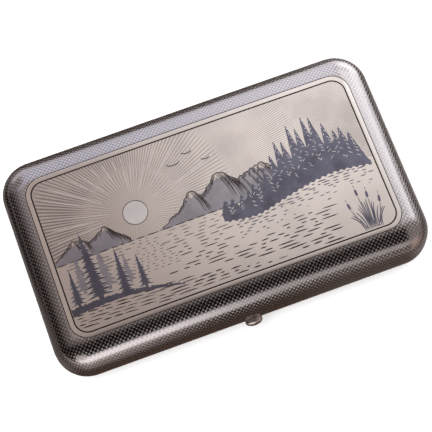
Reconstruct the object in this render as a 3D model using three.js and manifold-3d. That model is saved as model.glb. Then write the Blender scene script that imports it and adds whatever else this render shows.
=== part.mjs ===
// A pocket cigarette case of silver with niello work: two dished shells on a row of hinge knuckles,
// an inner bezel, a sprung catch worked by an oval button, and an elastic band in each half.
// Millimetres. +X runs along the hinge, +Y from the button to the hinge, +Z up through the lid.
// The origin is the middle of the flat face that the closed case lies on.

import * as THREE from "three";
import { mergeVertices } from "three/addons/utils/BufferGeometryUtils.js";
import Module from "manifold-3d";

// Overall form of the closed case
const CASE_LENGTH = 110;
const CASE_WIDTH = 64.5;
const BASE_HEIGHT = 8.4;
const LID_HEIGHT = 8.4;
const LID_CROWN = 0.7; // how much higher the lid stands at mid length than at its ends
const CORNER_RADIUS = 9.5;
const EDGE_REACH = 8.4; // how far the rounded edge reaches in before the face is flat
const RIM_BAND = 1.1; // upright plain band beside the seam on each shell
const WALL = 0.9;
const SEAM_GAP = 0.1;

// Facets of the rounded forms
const EDGE_STEPS = 8;
const CORNER_STEPS = 8;
const LONG_SIDE_STEPS = 10;
const SHORT_SIDE_STEPS = 4;
const CROWN_RINGS = 4;
const ROUND_STEPS = 24;
const SMALL_ROUND_STEPS = 16;

// Clearances
const SEAT_GAP = 0.15; // between pieces that are soldered or riveted face to face
const RUN_GAP = 0.2; // between pieces that move past each other
const CUT_OVER = 1; // how far a cutting solid runs past the face that it opens

// Hinge, along the straight stretch of the back wall
const KNUCKLES = 9;
const KNUCKLE_GAP = 0.2;
const BARREL_RADIUS = 1.5;
const BARREL_PROUD = 0.55; // how far the barrel stands out of the back wall
const PIN_RADIUS = 0.65;
const PIN_PLAY = 0.08;
const LEAF_THICKNESS = 0.6;
const LEAF_REACH = 4.2; // how far the leaf runs along the wall from the seam
const LEAF_STEPS = 5;
const OPEN_ANGLE = 135; // degrees
const STOP_PLAY = 2; // degrees left at each bevel when the lid is fully open

// Bezel inside the mouth of the base
const BEZEL_THICKNESS = 0.6;
const BEZEL_ABOVE = 1.3;
const BEZEL_EDGE = 0.25; // metal left under the rivets
const BEZEL_LEAD = 0.3; // chamfer that leads the lid over the bezel
const BEZEL_SHORT = 0.75; // how far short of the back corners the arms end

// Button, hook and keeper
const BUTTON_LENGTH = 4.9;
const BUTTON_HEIGHT = 2.8;
const BUTTON_PROUD = 1.45;
const BUTTON_DOME = 0.6;
const BUTTON_DROP = 2.35; // button centre below the seam
const BUTTON_TRAVEL = 0.8;
const STEM_RADIUS = 0.8;
const STEM_HEAD_RADIUS = 1.25;
const STEM_HEAD_THICKNESS = 0.35;
const SPRING_LENGTH = 36;
const SPRING_HEIGHT = 2.4;
const SPRING_THICKNESS = 0.4;
const SPRING_SETBACK = 0.1;
const RIVET_RADIUS = 0.4;
const RIVET_HEAD_RADIUS = 0.8;
const RIVET_HEAD_THICKNESS = 0.35;
const RIVET_INSET = 1.8; // rivet centre from the end of the spring
const RIVET_RISE = 0.6; // rivet centre above the button's centre
const HOOK_WIDTH = 5;
const HOOK_THICKNESS = 0.5;
const NIB_HEIGHT = 0.8;
const NIB_LAND = 0.15; // flat tip of the nib, below its ramp
const CATCH_BITE = 0.35; // how far the nib stands over the keeper
const KEEPER_LENGTH = 9;
const KEEPER_DEPTH = 0.6;
const KEEPER_FOOT = 0.2; // keeper's lower face above the seam
const KEEPER_HEIGHT = 1.0;
const KEEPER_CHAMFER = 0.25;
const KEEPER_SIDE_PLAY = 1; // between the keeper and the ends of its notch in the bezel
const NIB_GAP = 0.1;

// Elastic bands and the wire staples that hold them
const BAND_WIDTH = 9;
const BAND_THICKNESS = 0.45;
const BAND_PLAY = 0.15;
const STAPLE_WIRE_RADIUS = 0.45;
const STAPLE_INSET = 0.4; // staple from the edge of the flat floor
const STAPLE_SIDE_PLAY = 0.8;
const STAPLE_BEND = 0.8;
const STAPLE_STEPS = 28;

const SEAM_Z = BASE_HEIGHT;
const HALF_LENGTH = CASE_LENGTH / 2;
const HALF_WIDTH = CASE_WIDTH / 2;
const HINGE_Y = HALF_WIDTH + BARREL_PROUD - BARREL_RADIUS;
const HINGE_LENGTH = CASE_LENGTH - 2 * CORNER_RADIUS;
const BORE_RADIUS = PIN_RADIUS + PIN_PLAY;
const LEAF_START = (BORE_RADIUS + BARREL_RADIUS) / 2;
const BEVEL_ANGLE = THREE.MathUtils.degToRad(OPEN_ANGLE / 2 + STOP_PLAY);
const RIVET_DROP = BUTTON_DROP - RIVET_RISE;
const BEZEL_BELOW = RIVET_DROP + RIVET_RADIUS + BEZEL_EDGE;
const BEZEL_OFFSET = insetAt(BEZEL_BELOW, WALL, BASE_HEIGHT) + SEAT_GAP;
const FRONT_WALL_IN = -HALF_WIDTH + WALL;
const BEZEL_IN_Y = -HALF_WIDTH + BEZEL_OFFSET + BEZEL_THICKNESS;
const SPRING_Y = BEZEL_IN_Y + SPRING_SETBACK;
const HOOK_Y = SPRING_Y + SPRING_THICKNESS + SPRING_SETBACK;
const BUTTON_Z = SEAM_Z - BUTTON_DROP;
const KEEPER_OUT_Y = FRONT_WALL_IN + SEAT_GAP;
const KEEPER_IN_Y = KEEPER_OUT_Y + KEEPER_DEPTH;
const NIB_FOOT_Z = SEAM_Z + KEEPER_FOOT + KEEPER_HEIGHT + NIB_GAP;
const STAPLE_Y = HALF_WIDTH - EDGE_REACH - STAPLE_INSET;
const BAND_RADIUS_IN = STAPLE_WIRE_RADIUS + BAND_PLAY;
const BAND_RADIUS_OUT = BAND_RADIUS_IN + BAND_THICKNESS;
const STAPLE_BAR_RISE = BAND_RADIUS_OUT + SEAT_GAP; // wire centre above the floor it is soldered to

// Materials
const silver = new THREE.MeshStandardMaterial({ color: 0xcdc4bc, roughness: 0.3, metalness: 1 });
const niello = new THREE.MeshStandardMaterial({ color: 0x5e5c66, roughness: 0.25, metalness: 1 });
const gilt = new THREE.MeshStandardMaterial({ color: 0xd8ac62, roughness: 0.3, metalness: 1 });
const steel = new THREE.MeshStandardMaterial({ color: 0x9b9a98, roughness: 0.35, metalness: 1 });
const elastic = new THREE.MeshStandardMaterial({ color: 0x8c7a55, roughness: 0.9, metalness: 0 });

const wasm = await Module();
wasm.setup();

/** Turns a closed geometry into a solid that can be cut and joined. */
function solidFrom(geometry) {
  const bare = geometry.index ? geometry.toNonIndexed() : geometry.clone();
  bare.deleteAttribute("normal");
  bare.deleteAttribute("uv");
  const merged = mergeVertices(bare, 1e-4);
  return new wasm.Manifold(
    new wasm.Mesh({
      numProp: 3,
      vertProperties: merged.attributes.position.array,
      triVerts: new Uint32Array(merged.index.array),
    }),
  );
}

/** Turns a solid back into a geometry. */
function geometryFrom(solid) {
  const mesh = solid.getMesh();
  const position = new Float32Array(mesh.numVert * 3);
  for (let i = 0; i < mesh.numVert; i++) {
    position.set(mesh.vertProperties.subarray(i * mesh.numProp, i * mesh.numProp + 3), i * 3);
  }
  const geometry = new THREE.BufferGeometry();
  geometry.setAttribute("position", new THREE.BufferAttribute(position, 3));
  geometry.setIndex(new THREE.BufferAttribute(mesh.triVerts, 1));
  geometry.computeVertexNormals();
  return geometry;
}

/** Makes a named mesh. */
function piece(name, geometry, material) {
  const mesh = new THREE.Mesh(geometry, material);
  mesh.name = name;
  return mesh;
}

/** The case's outline in plan, pulled in by inset, as points that run anticlockwise. */
function outline(inset) {
  const x = HALF_LENGTH - inset;
  const y = HALF_WIDTH - inset;
  const radius = Math.max(CORNER_RADIUS - inset, 0.05);
  const corners = [
    [x - radius, -y + radius, -Math.PI / 2, SHORT_SIDE_STEPS],
    [x - radius, y - radius, 0, LONG_SIDE_STEPS],
    [-x + radius, y - radius, Math.PI / 2, SHORT_SIDE_STEPS],
    [-x + radius, -y + radius, Math.PI, LONG_SIDE_STEPS],
  ];
  const points = [];
  corners.forEach(([cx, cy, start, sideSteps], k) => {
    for (let i = 0; i <= CORNER_STEPS; i++) {
      const angle = start + ((i / CORNER_STEPS) * Math.PI) / 2;
      points.push([cx + radius * Math.cos(angle), cy + radius * Math.sin(angle)]);
    }
    const [nx, ny, nextStart] = corners[(k + 1) % corners.length];
    const from = points[points.length - 1];
    const to = [nx + radius * Math.cos(nextStart), ny + radius * Math.sin(nextStart)];
    for (let i = 1; i < sideSteps; i++) {
      const t = i / sideSteps;
      points.push([from[0] + (to[0] - from[0]) * t, from[1] + (to[1] - from[1]) * t]);
    }
  });
  return points;
}

/** A closed geometry through rings of points with as many points each, from the lowest to the highest. */
function loft(rings) {
  const count = rings[0].length;
  const position = rings.flat(2);
  const lowest = position.length / 3;
  const heights = (ring) => ring.map((point) => point[2]);
  position.push(0, 0, Math.min(...heights(rings[0])));
  position.push(0, 0, Math.max(...heights(rings[rings.length - 1])));
  const index = [];
  for (let r = 0; r + 1 < rings.length; r++) {
    for (let i = 0; i < count; i++) {
      const a = r * count + i;
      const b = r * count + ((i + 1) % count);
      index.push(a, b, b + count, a, b + count, a + count);
    }
  }
  const last = (rings.length - 1) * count;
  for (let i = 0; i < count; i++) {
    const next = (i + 1) % count;
    index.push(lowest, next, i);
    index.push(lowest + 1, last + i, last + next);
  }
  const geometry = new THREE.BufferGeometry();
  geometry.setAttribute("position", new THREE.Float32BufferAttribute(position, 3));
  geometry.setIndex(index);
  return geometry;
}

/** How far in a skin lies at a rise above the seam, for a skin that is depth inside the outer one. */
function insetAt(rise, depth, height) {
  const up = Math.max(rise - RIM_BAND, 0) / (height - RIM_BAND - depth);
  return depth + (EDGE_REACH - depth) * (1 - Math.sqrt(Math.max(1 - up * up, 0)));
}

/** The rings of a shell's skin, from the seam outwards: the upright band, the rounded edge, the face. */
function skinRings(depth, height, crown, start) {
  const flip = height < 0 ? -1 : 1;
  const tall = Math.abs(height);
  const reach = tall - depth;
  const steps = [[depth, start], [depth, RIM_BAND]];
  for (let k = 1; k <= EDGE_STEPS; k++) {
    const angle = ((k / EDGE_STEPS) * Math.PI) / 2;
    const inset = depth + (EDGE_REACH - depth) * (1 - Math.cos(angle));
    steps.push([inset, RIM_BAND + (reach - RIM_BAND) * Math.sin(angle)]);
  }
  const lift = (x, rise) => {
    const share = Math.max(rise, 0) / reach;
    return rise + crown * (1 - (x / HALF_LENGTH) ** 2) * share * share;
  };
  const rings = steps.map(([inset, rise]) =>
    outline(inset).map(([x, y]) => [x, y, SEAM_Z + flip * lift(x, rise)]),
  );
  for (let k = CROWN_RINGS - 1; k > 0 && crown > 0; k--) {
    const share = k / CROWN_RINGS;
    rings.push(
      outline(EDGE_REACH).map(([x, y]) => [x * share, y * share, SEAM_Z + flip * lift(x * share, reach)]),
    );
  }
  return flip > 0 ? rings : rings.reverse();
}

/** A shell: its outer skin's solid less its inner skin's, open at the seam. */
function shell(height, crown) {
  const outer = solidFrom(loft(skinRings(0, height, crown, SEAM_GAP / 2)));
  const inner = solidFrom(loft(skinRings(WALL, height, crown, -CUT_OVER)));
  return outer.subtract(inner);
}

/** A round bar along X through a point of the YZ plane. */
function barAlongX(radius, length, y, z, steps) {
  const geometry = new THREE.CylinderGeometry(radius, radius, length, steps);
  geometry.rotateZ(Math.PI / 2);
  geometry.translate(0, y, z);
  return geometry;
}

/** A round bar along Y between two values of Y. */
function barAlongY(radius, x, z, from, to, steps) {
  const geometry = new THREE.CylinderGeometry(radius, radius, to - from, steps);
  geometry.translate(x, (from + to) / 2, z);
  return geometry;
}

/** A box between two corners. */
function boxBetween(low, high) {
  const size = high.map((v, i) => v - low[i]);
  const geometry = new THREE.BoxGeometry(...size);
  geometry.translate(...low.map((v, i) => v + size[i] / 2));
  return geometry;
}

/** Extrudes an outline given as [y, z] points along X, between two values of X. */
function extrudeAlongX(points, from, to, holes = []) {
  const shape = new THREE.Shape(points.map(([y, z]) => new THREE.Vector2(y, z)));
  for (const hole of holes) shape.holes.push(new THREE.Path(hole.map(([y, z]) => new THREE.Vector2(y, z))));
  const geometry = new THREE.ExtrudeGeometry(shape, { depth: to - from, bevelEnabled: false });
  geometry.applyMatrix4(new THREE.Matrix4().set(0, 0, 1, from, 1, 0, 0, 0, 0, 1, 0, 0, 0, 0, 0, 1));
  return geometry;
}

/** The groove for the barrel and the bevels on both shells that let the lid fall right back. */
function hingeCut() {
  const groove = barAlongX(
    BARREL_RADIUS + RUN_GAP, HINGE_LENGTH + 2 * RUN_GAP, HINGE_Y, SEAM_Z, ROUND_STEPS,
  );
  const far = BASE_HEIGHT + LID_HEIGHT;
  const across = far * Math.cos(BEVEL_ANGLE);
  const up = far * Math.sin(BEVEL_ANGLE);
  const bevels = extrudeAlongX(
    [
      [HINGE_Y, SEAM_Z],
      [HINGE_Y + across, SEAM_Z - up],
      [HINGE_Y + far, SEAM_Z - up],
      [HINGE_Y + far, SEAM_Z + up],
      [HINGE_Y + across, SEAM_Z + up],
    ],
    -HALF_LENGTH - CUT_OVER,
    HALF_LENGTH + CUT_OVER,
  );
  return solidFrom(groove).add(solidFrom(bevels));
}

/** An oval bar along Y, as wide and as high as the button with a margin all round. */
function buttonBar(margin, from, to) {
  const geometry = barAlongY(1, 0, 0, from, to, ROUND_STEPS);
  geometry.scale(BUTTON_LENGTH / 2 + margin, 1, BUTTON_HEIGHT / 2 + margin);
  geometry.translate(0, 0, BUTTON_Z);
  return geometry;
}

function baseShell() {
  const window = buttonBar(SEAT_GAP, -HALF_WIDTH - CUT_OVER, FRONT_WALL_IN + CUT_OVER);
  return shell(-BASE_HEIGHT, 0).subtract(hingeCut()).subtract(solidFrom(window));
}

function lidShell() {
  return shell(LID_HEIGHT, LID_CROWN).subtract(hingeCut());
}

/** The bezel: a strip inside the front and side walls, notched for the keeper and the button. */
function baseBezel() {
  const low = SEAM_Z - BEZEL_BELOW;
  const high = SEAM_Z + BEZEL_ABOVE;
  const ring = (inset, z) => outline(inset).map(([x, y]) => [x, y, z]);
  const outer = solidFrom(
    loft([ring(BEZEL_OFFSET, low), ring(BEZEL_OFFSET, high - BEZEL_LEAD), ring(BEZEL_OFFSET + BEZEL_LEAD, high)]),
  );
  const inset = BEZEL_OFFSET + BEZEL_THICKNESS;
  const inner = solidFrom(loft([ring(inset, low - CUT_OVER), ring(inset, high + CUT_OVER)]));
  const armEnd = HALF_WIDTH - CORNER_RADIUS - BEZEL_SHORT;
  const back = boxBetween([-HALF_LENGTH, armEnd, low - CUT_OVER], [HALF_LENGTH, HALF_WIDTH, high + CUT_OVER]);
  const keeperHalf = KEEPER_LENGTH / 2 + KEEPER_SIDE_PLAY;
  const keeperNotch = boxBetween(
    [-keeperHalf, -HALF_WIDTH, SEAM_Z - SEAM_GAP / 2],
    [keeperHalf, BEZEL_IN_Y + CUT_OVER, high + CUT_OVER],
  );
  const buttonHalf = BUTTON_LENGTH / 2 + RUN_GAP + SEAT_GAP;
  const buttonNotch = boxBetween(
    [-buttonHalf, -HALF_WIDTH, low - CUT_OVER],
    [buttonHalf, BEZEL_IN_Y + CUT_OVER, BUTTON_Z + BUTTON_HEIGHT / 2 + RUN_GAP],
  );
  let bezel = outer.subtract(inner).subtract(solidFrom(back));
  bezel = bezel.subtract(solidFrom(keeperNotch)).subtract(solidFrom(buttonNotch));
  for (const x of rivetPlaces()) {
    const hole = barAlongY(
      RIVET_RADIUS + SEAT_GAP / 2, x, SEAM_Z - RIVET_DROP, -HALF_WIDTH, SPRING_Y, SMALL_ROUND_STEPS,
    );
    bezel = bezel.subtract(solidFrom(hole));
  }
  return bezel;
}

/** A knuckle with the leaf that holds it to the wall of its own shell: side is 1 for the lid, -1 for the base. */
function knuckle(side, from, to) {
  const barrel = barAlongX(BARREL_RADIUS, to - from, HINGE_Y, SEAM_Z, ROUND_STEPS);
  barrel.translate((from + to) / 2, 0, 0);
  const height = side > 0 ? LID_HEIGHT : BASE_HEIGHT;
  const wallSide = [];
  const caseSide = [];
  for (let k = 0; k <= LEAF_STEPS; k++) {
    const rise = LEAF_START + ((LEAF_REACH - LEAF_START) * k) / LEAF_STEPS;
    const y = HALF_WIDTH - insetAt(rise, WALL, height) - SEAT_GAP;
    wallSide.push([y, SEAM_Z + side * rise]);
    caseSide.unshift([y - LEAF_THICKNESS, SEAM_Z + side * rise]);
  }
  const around = [[HINGE_Y, SEAM_Z], ...wallSide, ...caseSide];
  const leaf = extrudeAlongX(side > 0 ? around : around.reverse(), from, to);
  const bore = barAlongX(BORE_RADIUS, CASE_LENGTH, HINGE_Y, SEAM_Z, SMALL_ROUND_STEPS);
  return solidFrom(barrel).add(solidFrom(leaf)).subtract(solidFrom(bore));
}

/** The places of the two rivets along the spring. */
function rivetPlaces() {
  const x = SPRING_LENGTH / 2 - RIVET_INSET;
  return [-x, x];
}

/** The flat spring behind the bezel, with round ends, a hole for the stem and two for the rivets. */
function catchSpring() {
  const radius = SPRING_HEIGHT / 2;
  const flat = SPRING_LENGTH / 2 - radius;
  const shape = new THREE.Shape();
  shape.absarc(flat, 0, radius, -Math.PI / 2, Math.PI / 2, false);
  shape.absarc(-flat, 0, radius, Math.PI / 2, (3 * Math.PI) / 2, false);
  const hole = (x, y, r) => shape.holes.push(new THREE.Path().absarc(x, y, r, 0, 2 * Math.PI, true));
  hole(0, 0, STEM_RADIUS + SEAT_GAP / 2);
  for (const x of rivetPlaces()) hole(x, RIVET_RISE, RIVET_RADIUS + SEAT_GAP / 2);
  const geometry = new THREE.ExtrudeGeometry(shape, {
    depth: SPRING_THICKNESS, bevelEnabled: false, curveSegments: SMALL_ROUND_STEPS,
  });
  geometry.rotateX(Math.PI / 2);
  geometry.translate(0, SPRING_Y + SPRING_THICKNESS, BUTTON_Z);
  return geometry;
}

/** A shank with a domed head at its inner end, turned about Y. */
function rivet(x) {
  const headFoot = SPRING_Y + SPRING_THICKNESS + SPRING_SETBACK / 2;
  const shankEnd = -HALF_WIDTH + BEZEL_OFFSET + SPRING_SETBACK / 2;
  const profile = [
    [0, shankEnd],
    [RIVET_RADIUS, shankEnd],
    [RIVET_RADIUS, headFoot],
    [RIVET_HEAD_RADIUS, headFoot],
    [RIVET_HEAD_RADIUS * 0.8, headFoot + RIVET_HEAD_THICKNESS * 0.7],
    [0, headFoot + RIVET_HEAD_THICKNESS],
  ].map(([r, y]) => new THREE.Vector2(r, y));
  const geometry = new THREE.LatheGeometry(profile, SMALL_ROUND_STEPS);
  geometry.translate(x, 0, SEAM_Z - RIVET_DROP);
  return geometry;
}

/** The button: an oval plug with a domed end, its stem, and the stem's riveted head behind the hook. */
function thumbButton() {
  const tip = -HALF_WIDTH - BUTTON_PROUD;
  const back = FRONT_WALL_IN - SEAT_GAP;
  const profile = [[0, tip]];
  const domeSteps = 5;
  for (let k = 1; k <= domeSteps; k++) {
    const angle = ((k / domeSteps) * Math.PI) / 2;
    profile.push([Math.sin(angle), tip + BUTTON_DOME * (1 - Math.cos(angle))]);
  }
  profile.push([1, back], [0, back]);
  const plug = new THREE.LatheGeometry(profile.map(([r, y]) => new THREE.Vector2(r, y)), ROUND_STEPS);
  plug.scale(BUTTON_LENGTH / 2, 1, BUTTON_HEIGHT / 2);
  const headFoot = HOOK_Y + HOOK_THICKNESS + SPRING_SETBACK / 2;
  const stem = barAlongY(STEM_RADIUS, 0, 0, back - STEM_RADIUS, headFoot + STEM_HEAD_THICKNESS, SMALL_ROUND_STEPS);
  const head = barAlongY(STEM_HEAD_RADIUS, 0, 0, headFoot, headFoot + STEM_HEAD_THICKNESS, SMALL_ROUND_STEPS);
  return solidFrom(plug).add(solidFrom(stem)).add(solidFrom(head)).translate(0, 0, BUTTON_Z);
}

/** The hook: a plate on the stem whose nib stands forward over the keeper, with a ramp that the lid rides down. */
function catchHook() {
  const foot = BUTTON_Z - SPRING_HEIGHT / 2;
  const tip = KEEPER_IN_Y - CATCH_BITE;
  const back = HOOK_Y + HOOK_THICKNESS;
  const plate = extrudeAlongX(
    [
      [HOOK_Y, foot],
      [back, foot],
      [back, NIB_FOOT_Z + NIB_HEIGHT],
      [HOOK_Y, NIB_FOOT_Z + NIB_HEIGHT],
      [tip, NIB_FOOT_Z + NIB_LAND],
      [tip, NIB_FOOT_Z],
      [HOOK_Y, NIB_FOOT_Z],
    ],
    -HOOK_WIDTH / 2,
    HOOK_WIDTH / 2,
  );
  const hole = barAlongY(STEM_RADIUS + SEAT_GAP / 2, 0, BUTTON_Z, HOOK_Y - CUT_OVER, back + CUT_OVER, SMALL_ROUND_STEPS);
  return solidFrom(plate).subtract(solidFrom(hole));
}

/** The keeper: a bar soldered inside the lid's front wall, chamfered where the nib rides over it. */
function catchKeeper() {
  const foot = SEAM_Z + KEEPER_FOOT;
  const top = foot + KEEPER_HEIGHT;
  return extrudeAlongX(
    [
      [KEEPER_OUT_Y, foot],
      [KEEPER_IN_Y - KEEPER_CHAMFER, foot],
      [KEEPER_IN_Y, foot + KEEPER_CHAMFER],
      [KEEPER_IN_Y, top],
      [KEEPER_OUT_Y, top],
    ],
    -KEEPER_LENGTH / 2,
    KEEPER_LENGTH / 2,
  );
}

/** A long round-ended loop in the YZ plane, as points. */
function stadium(radius, z) {
  const points = [];
  const steps = SMALL_ROUND_STEPS / 2;
  for (const [side, start] of [[1, -Math.PI / 2], [-1, Math.PI / 2]]) {
    for (let i = 0; i <= steps; i++) {
      const angle = start + (i / steps) * Math.PI;
      points.push([side * STAPLE_Y + radius * Math.cos(angle), z + radius * Math.sin(angle)]);
    }
  }
  return points;
}

/** The elastic band: an endless woven loop round the bars of its two staples. */
function elasticBand(barZ) {
  return extrudeAlongX(
    stadium(BAND_RADIUS_OUT, barZ), -BAND_WIDTH / 2, BAND_WIDTH / 2, [stadium(BAND_RADIUS_IN, barZ)],
  );
}

/** A staple of round wire: a bar along X with a leg at each end that runs to the floor of its shell. */
function staple(y, barZ, floorZ) {
  const half = BAND_WIDTH / 2 + STAPLE_SIDE_PLAY;
  const side = Math.sign(barZ - floorZ);
  const legFoot = floorZ + side * SEAT_GAP;
  const bend = Math.min(STAPLE_BEND, Math.abs(barZ - legFoot) - 0.05);
  const at = (x, z) => new THREE.Vector3(x, y, z);
  const path = new THREE.CurvePath();
  path.add(new THREE.LineCurve3(at(-half, legFoot), at(-half, barZ - side * bend)));
  path.add(new THREE.QuadraticBezierCurve3(at(-half, barZ - side * bend), at(-half, barZ), at(-half + bend, barZ)));
  path.add(new THREE.LineCurve3(at(-half + bend, barZ), at(half - bend, barZ)));
  path.add(new THREE.QuadraticBezierCurve3(at(half - bend, barZ), at(half, barZ), at(half, barZ - side * bend)));
  path.add(new THREE.LineCurve3(at(half, barZ - side * bend), at(half, legFoot)));
  const section = new THREE.Shape();
  section.absarc(0, 0, STAPLE_WIRE_RADIUS, 0, 2 * Math.PI, false);
  return new THREE.ExtrudeGeometry(section, {
    steps: STAPLE_STEPS, curveSegments: SMALL_ROUND_STEPS / 4, bevelEnabled: false, extrudePath: path,
  });
}

const caseGroup = new THREE.Group();
caseGroup.add(piece("base_shell", geometryFrom(baseShell()), niello));
caseGroup.add(piece("lid_shell", geometryFrom(lidShell()), niello));
caseGroup.add(piece("base_bezel", geometryFrom(baseBezel()), gilt));

const knucklePitch = HINGE_LENGTH / KNUCKLES;
for (let k = 0; k < KNUCKLES; k++) {
  const from = -HINGE_LENGTH / 2 + k * knucklePitch + KNUCKLE_GAP / 2;
  const to = from + knucklePitch - KNUCKLE_GAP;
  const onLid = k % 2 === 1;
  const name = `${onLid ? "lid" : "base"}_knuckle_${Math.floor(k / 2) + 1}`;
  caseGroup.add(piece(name, geometryFrom(knuckle(onLid ? 1 : -1, from, to)), silver));
}
caseGroup.add(piece("hinge_pin", barAlongX(PIN_RADIUS, HINGE_LENGTH, HINGE_Y, SEAM_Z, SMALL_ROUND_STEPS), steel));

caseGroup.add(piece("thumb_button", geometryFrom(thumbButton()), silver));
caseGroup.add(piece("catch_hook", geometryFrom(catchHook()), steel));
caseGroup.add(piece("catch_spring", catchSpring(), steel));
caseGroup.add(piece("catch_keeper", catchKeeper(), silver));
const [leftRivet, rightRivet] = rivetPlaces();
caseGroup.add(piece("spring_rivet_left", rivet(leftRivet), silver));
caseGroup.add(piece("spring_rivet_right", rivet(rightRivet), silver));

const crownAtBand = LID_CROWN * (1 - (BAND_WIDTH / CASE_LENGTH) ** 2);
const halves = [
  ["base", WALL, 1],
  ["lid", SEAM_Z + LID_HEIGHT - WALL + crownAtBand, -1],
];
for (const [half, floorZ, side] of halves) {
  const barZ = floorZ + side * STAPLE_BAR_RISE;
  caseGroup.add(piece(`${half}_band`, elasticBand(barZ), elastic));
  caseGroup.add(piece(`${half}_staple_front`, staple(-STAPLE_Y, barZ, floorZ), gilt));
  caseGroup.add(piece(`${half}_staple_rear`, staple(STAPLE_Y, barZ, floorZ), gilt));
}

export default caseGroup;
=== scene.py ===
"""Looks of a pocket cigarette case of silver with niello work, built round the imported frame.

Sizes in the classes are millimetres; Blender's own units are metres. +X runs along the hinge,
+Y from the button to the hinge and +Z up through the lid.
"""

from __future__ import annotations

import logging
import math
import random
from collections.abc import Callable, Iterable, Iterator, Sequence
from contextlib import contextmanager
from dataclasses import dataclass, field
from enum import Enum

import bmesh
import bpy
import numpy as np
from mathutils import Matrix, Vector


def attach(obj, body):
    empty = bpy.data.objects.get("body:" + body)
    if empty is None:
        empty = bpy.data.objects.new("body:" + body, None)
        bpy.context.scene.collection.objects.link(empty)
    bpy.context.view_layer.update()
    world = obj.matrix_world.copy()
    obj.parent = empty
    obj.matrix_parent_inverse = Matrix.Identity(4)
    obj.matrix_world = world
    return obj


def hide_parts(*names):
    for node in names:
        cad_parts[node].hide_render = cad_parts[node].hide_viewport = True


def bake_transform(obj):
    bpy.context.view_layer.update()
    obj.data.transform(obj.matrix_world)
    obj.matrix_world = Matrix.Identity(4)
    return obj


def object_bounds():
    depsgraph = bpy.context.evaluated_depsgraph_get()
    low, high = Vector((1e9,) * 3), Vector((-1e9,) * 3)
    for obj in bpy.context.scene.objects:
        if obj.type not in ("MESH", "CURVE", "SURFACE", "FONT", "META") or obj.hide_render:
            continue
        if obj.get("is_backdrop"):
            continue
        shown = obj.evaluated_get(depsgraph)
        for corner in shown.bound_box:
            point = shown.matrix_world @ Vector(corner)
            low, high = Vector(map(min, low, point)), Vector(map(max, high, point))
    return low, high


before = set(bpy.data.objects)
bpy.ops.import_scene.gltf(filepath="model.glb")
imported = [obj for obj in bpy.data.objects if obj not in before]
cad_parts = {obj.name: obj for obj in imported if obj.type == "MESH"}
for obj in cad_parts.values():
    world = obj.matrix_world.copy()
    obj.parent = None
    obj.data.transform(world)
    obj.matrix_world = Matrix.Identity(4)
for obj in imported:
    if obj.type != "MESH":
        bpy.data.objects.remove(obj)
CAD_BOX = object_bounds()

MM = 0.001
TOUCH = 0.002
MERGE = 0.001
CORNER_STEPS = 24
log = logging.getLogger("case")

Colour = tuple[float, float, float, float]
Flat = tuple[float, float]
Triple = tuple[float, float, float]
Point = Sequence[float]
Path = Sequence[Flat]
Strokes = Iterator[list[Flat]]
Object = bpy.types.Object
Material = bpy.types.Material
Rule = Callable[[Vector, Vector], bool]


class Body(Enum):
    """The frame's moving bodies."""

    BASE = "base"
    LID = "lid"
    CATCH = "catch"


class Slot(Enum):
    """The record's material slots."""

    CASE = "silver_case"
    PLAIN = "silver_plain"
    GILT = "gilt_inside"
    STEEL = "steel"
    ELASTIC = "elastic"


class Axis(Enum):
    """Turns that bring a primitive's own Z axis along an axis of the case."""

    X = (0.0, math.pi / 2, 0.0)
    Y = (math.pi / 2, 0.0, 0.0)


@dataclass(frozen=True)
class CaseSizes:
    """The closed case, in the sizes that its parts share."""

    half_length: float = 55.0
    half_width: float = 32.25
    corner: float = 9.5
    seam: float = 8.4
    height: float = 8.4
    reach_in: float = 8.4
    strip: float = 1.1
    wall: float = 0.9
    crown: float = 0.7
    seat_gap: float = 0.15
    slice_length: float = 2.5
    sun: Flat = (-21.0, 5.0)
    shore: float = -2.5

    def slices(self) -> list[float]:
        """The places along X where the crowned face is cut across."""
        count = round(2 * self.half_length / self.slice_length)
        return [-self.half_length + k * 2 * self.half_length / count for k in range(1, count)]

    def inset_at(self, rise: float, depth: float) -> float:
        """How far in, in plan, a skin at a depth under the outer one lies at a rise."""
        up = max(rise - self.strip, 0) / (self.height - self.strip - depth)
        return depth + (self.reach_in - depth) * (1 - math.sqrt(max(1 - up * up, 0)))


CASE = CaseSizes()


# Mesh work


def deselect_all() -> None:
    """Leaves edit mode and deselects every object."""
    if bpy.context.mode != "OBJECT":
        bpy.ops.object.mode_set(mode="OBJECT")
    bpy.ops.object.select_all(action="DESELECT")


def activate(obj: Object) -> None:
    """Makes one object the only selected one and the active one.

    Args:
        obj: The object.
    """
    deselect_all()
    obj.select_set(True)
    bpy.context.view_layer.objects.active = obj


@contextmanager
def editing(obj: Object, kind: str = "FACE") -> Iterator[None]:
    """Opens an object in edit mode with everything selected.

    Args:
        obj: The object to edit.
        kind: VERT, EDGE or FACE, what is selected there.

    Yields:
        Nothing. The object is back in object mode afterwards.
    """
    activate(obj)
    bpy.ops.object.mode_set(mode="EDIT")
    bpy.ops.mesh.select_mode(type=kind)
    bpy.ops.mesh.select_all(action="SELECT")
    yield
    bpy.ops.object.mode_set(mode="OBJECT")


def pick_faces(obj: Object, rule: Rule) -> None:
    """Selects, in edit mode, only the faces whose middle and normal follow a rule.

    Args:
        obj: The object in edit mode.
        rule: Takes a face's middle in millimetres and its normal.
    """
    bpy.ops.mesh.select_all(action="DESELECT")
    shape = bmesh.from_edit_mesh(obj.data)
    for face in shape.faces:
        face.select_set(rule(face.calc_center_median() / MM, face.normal))
    bmesh.update_edit_mesh(obj.data)


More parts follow.
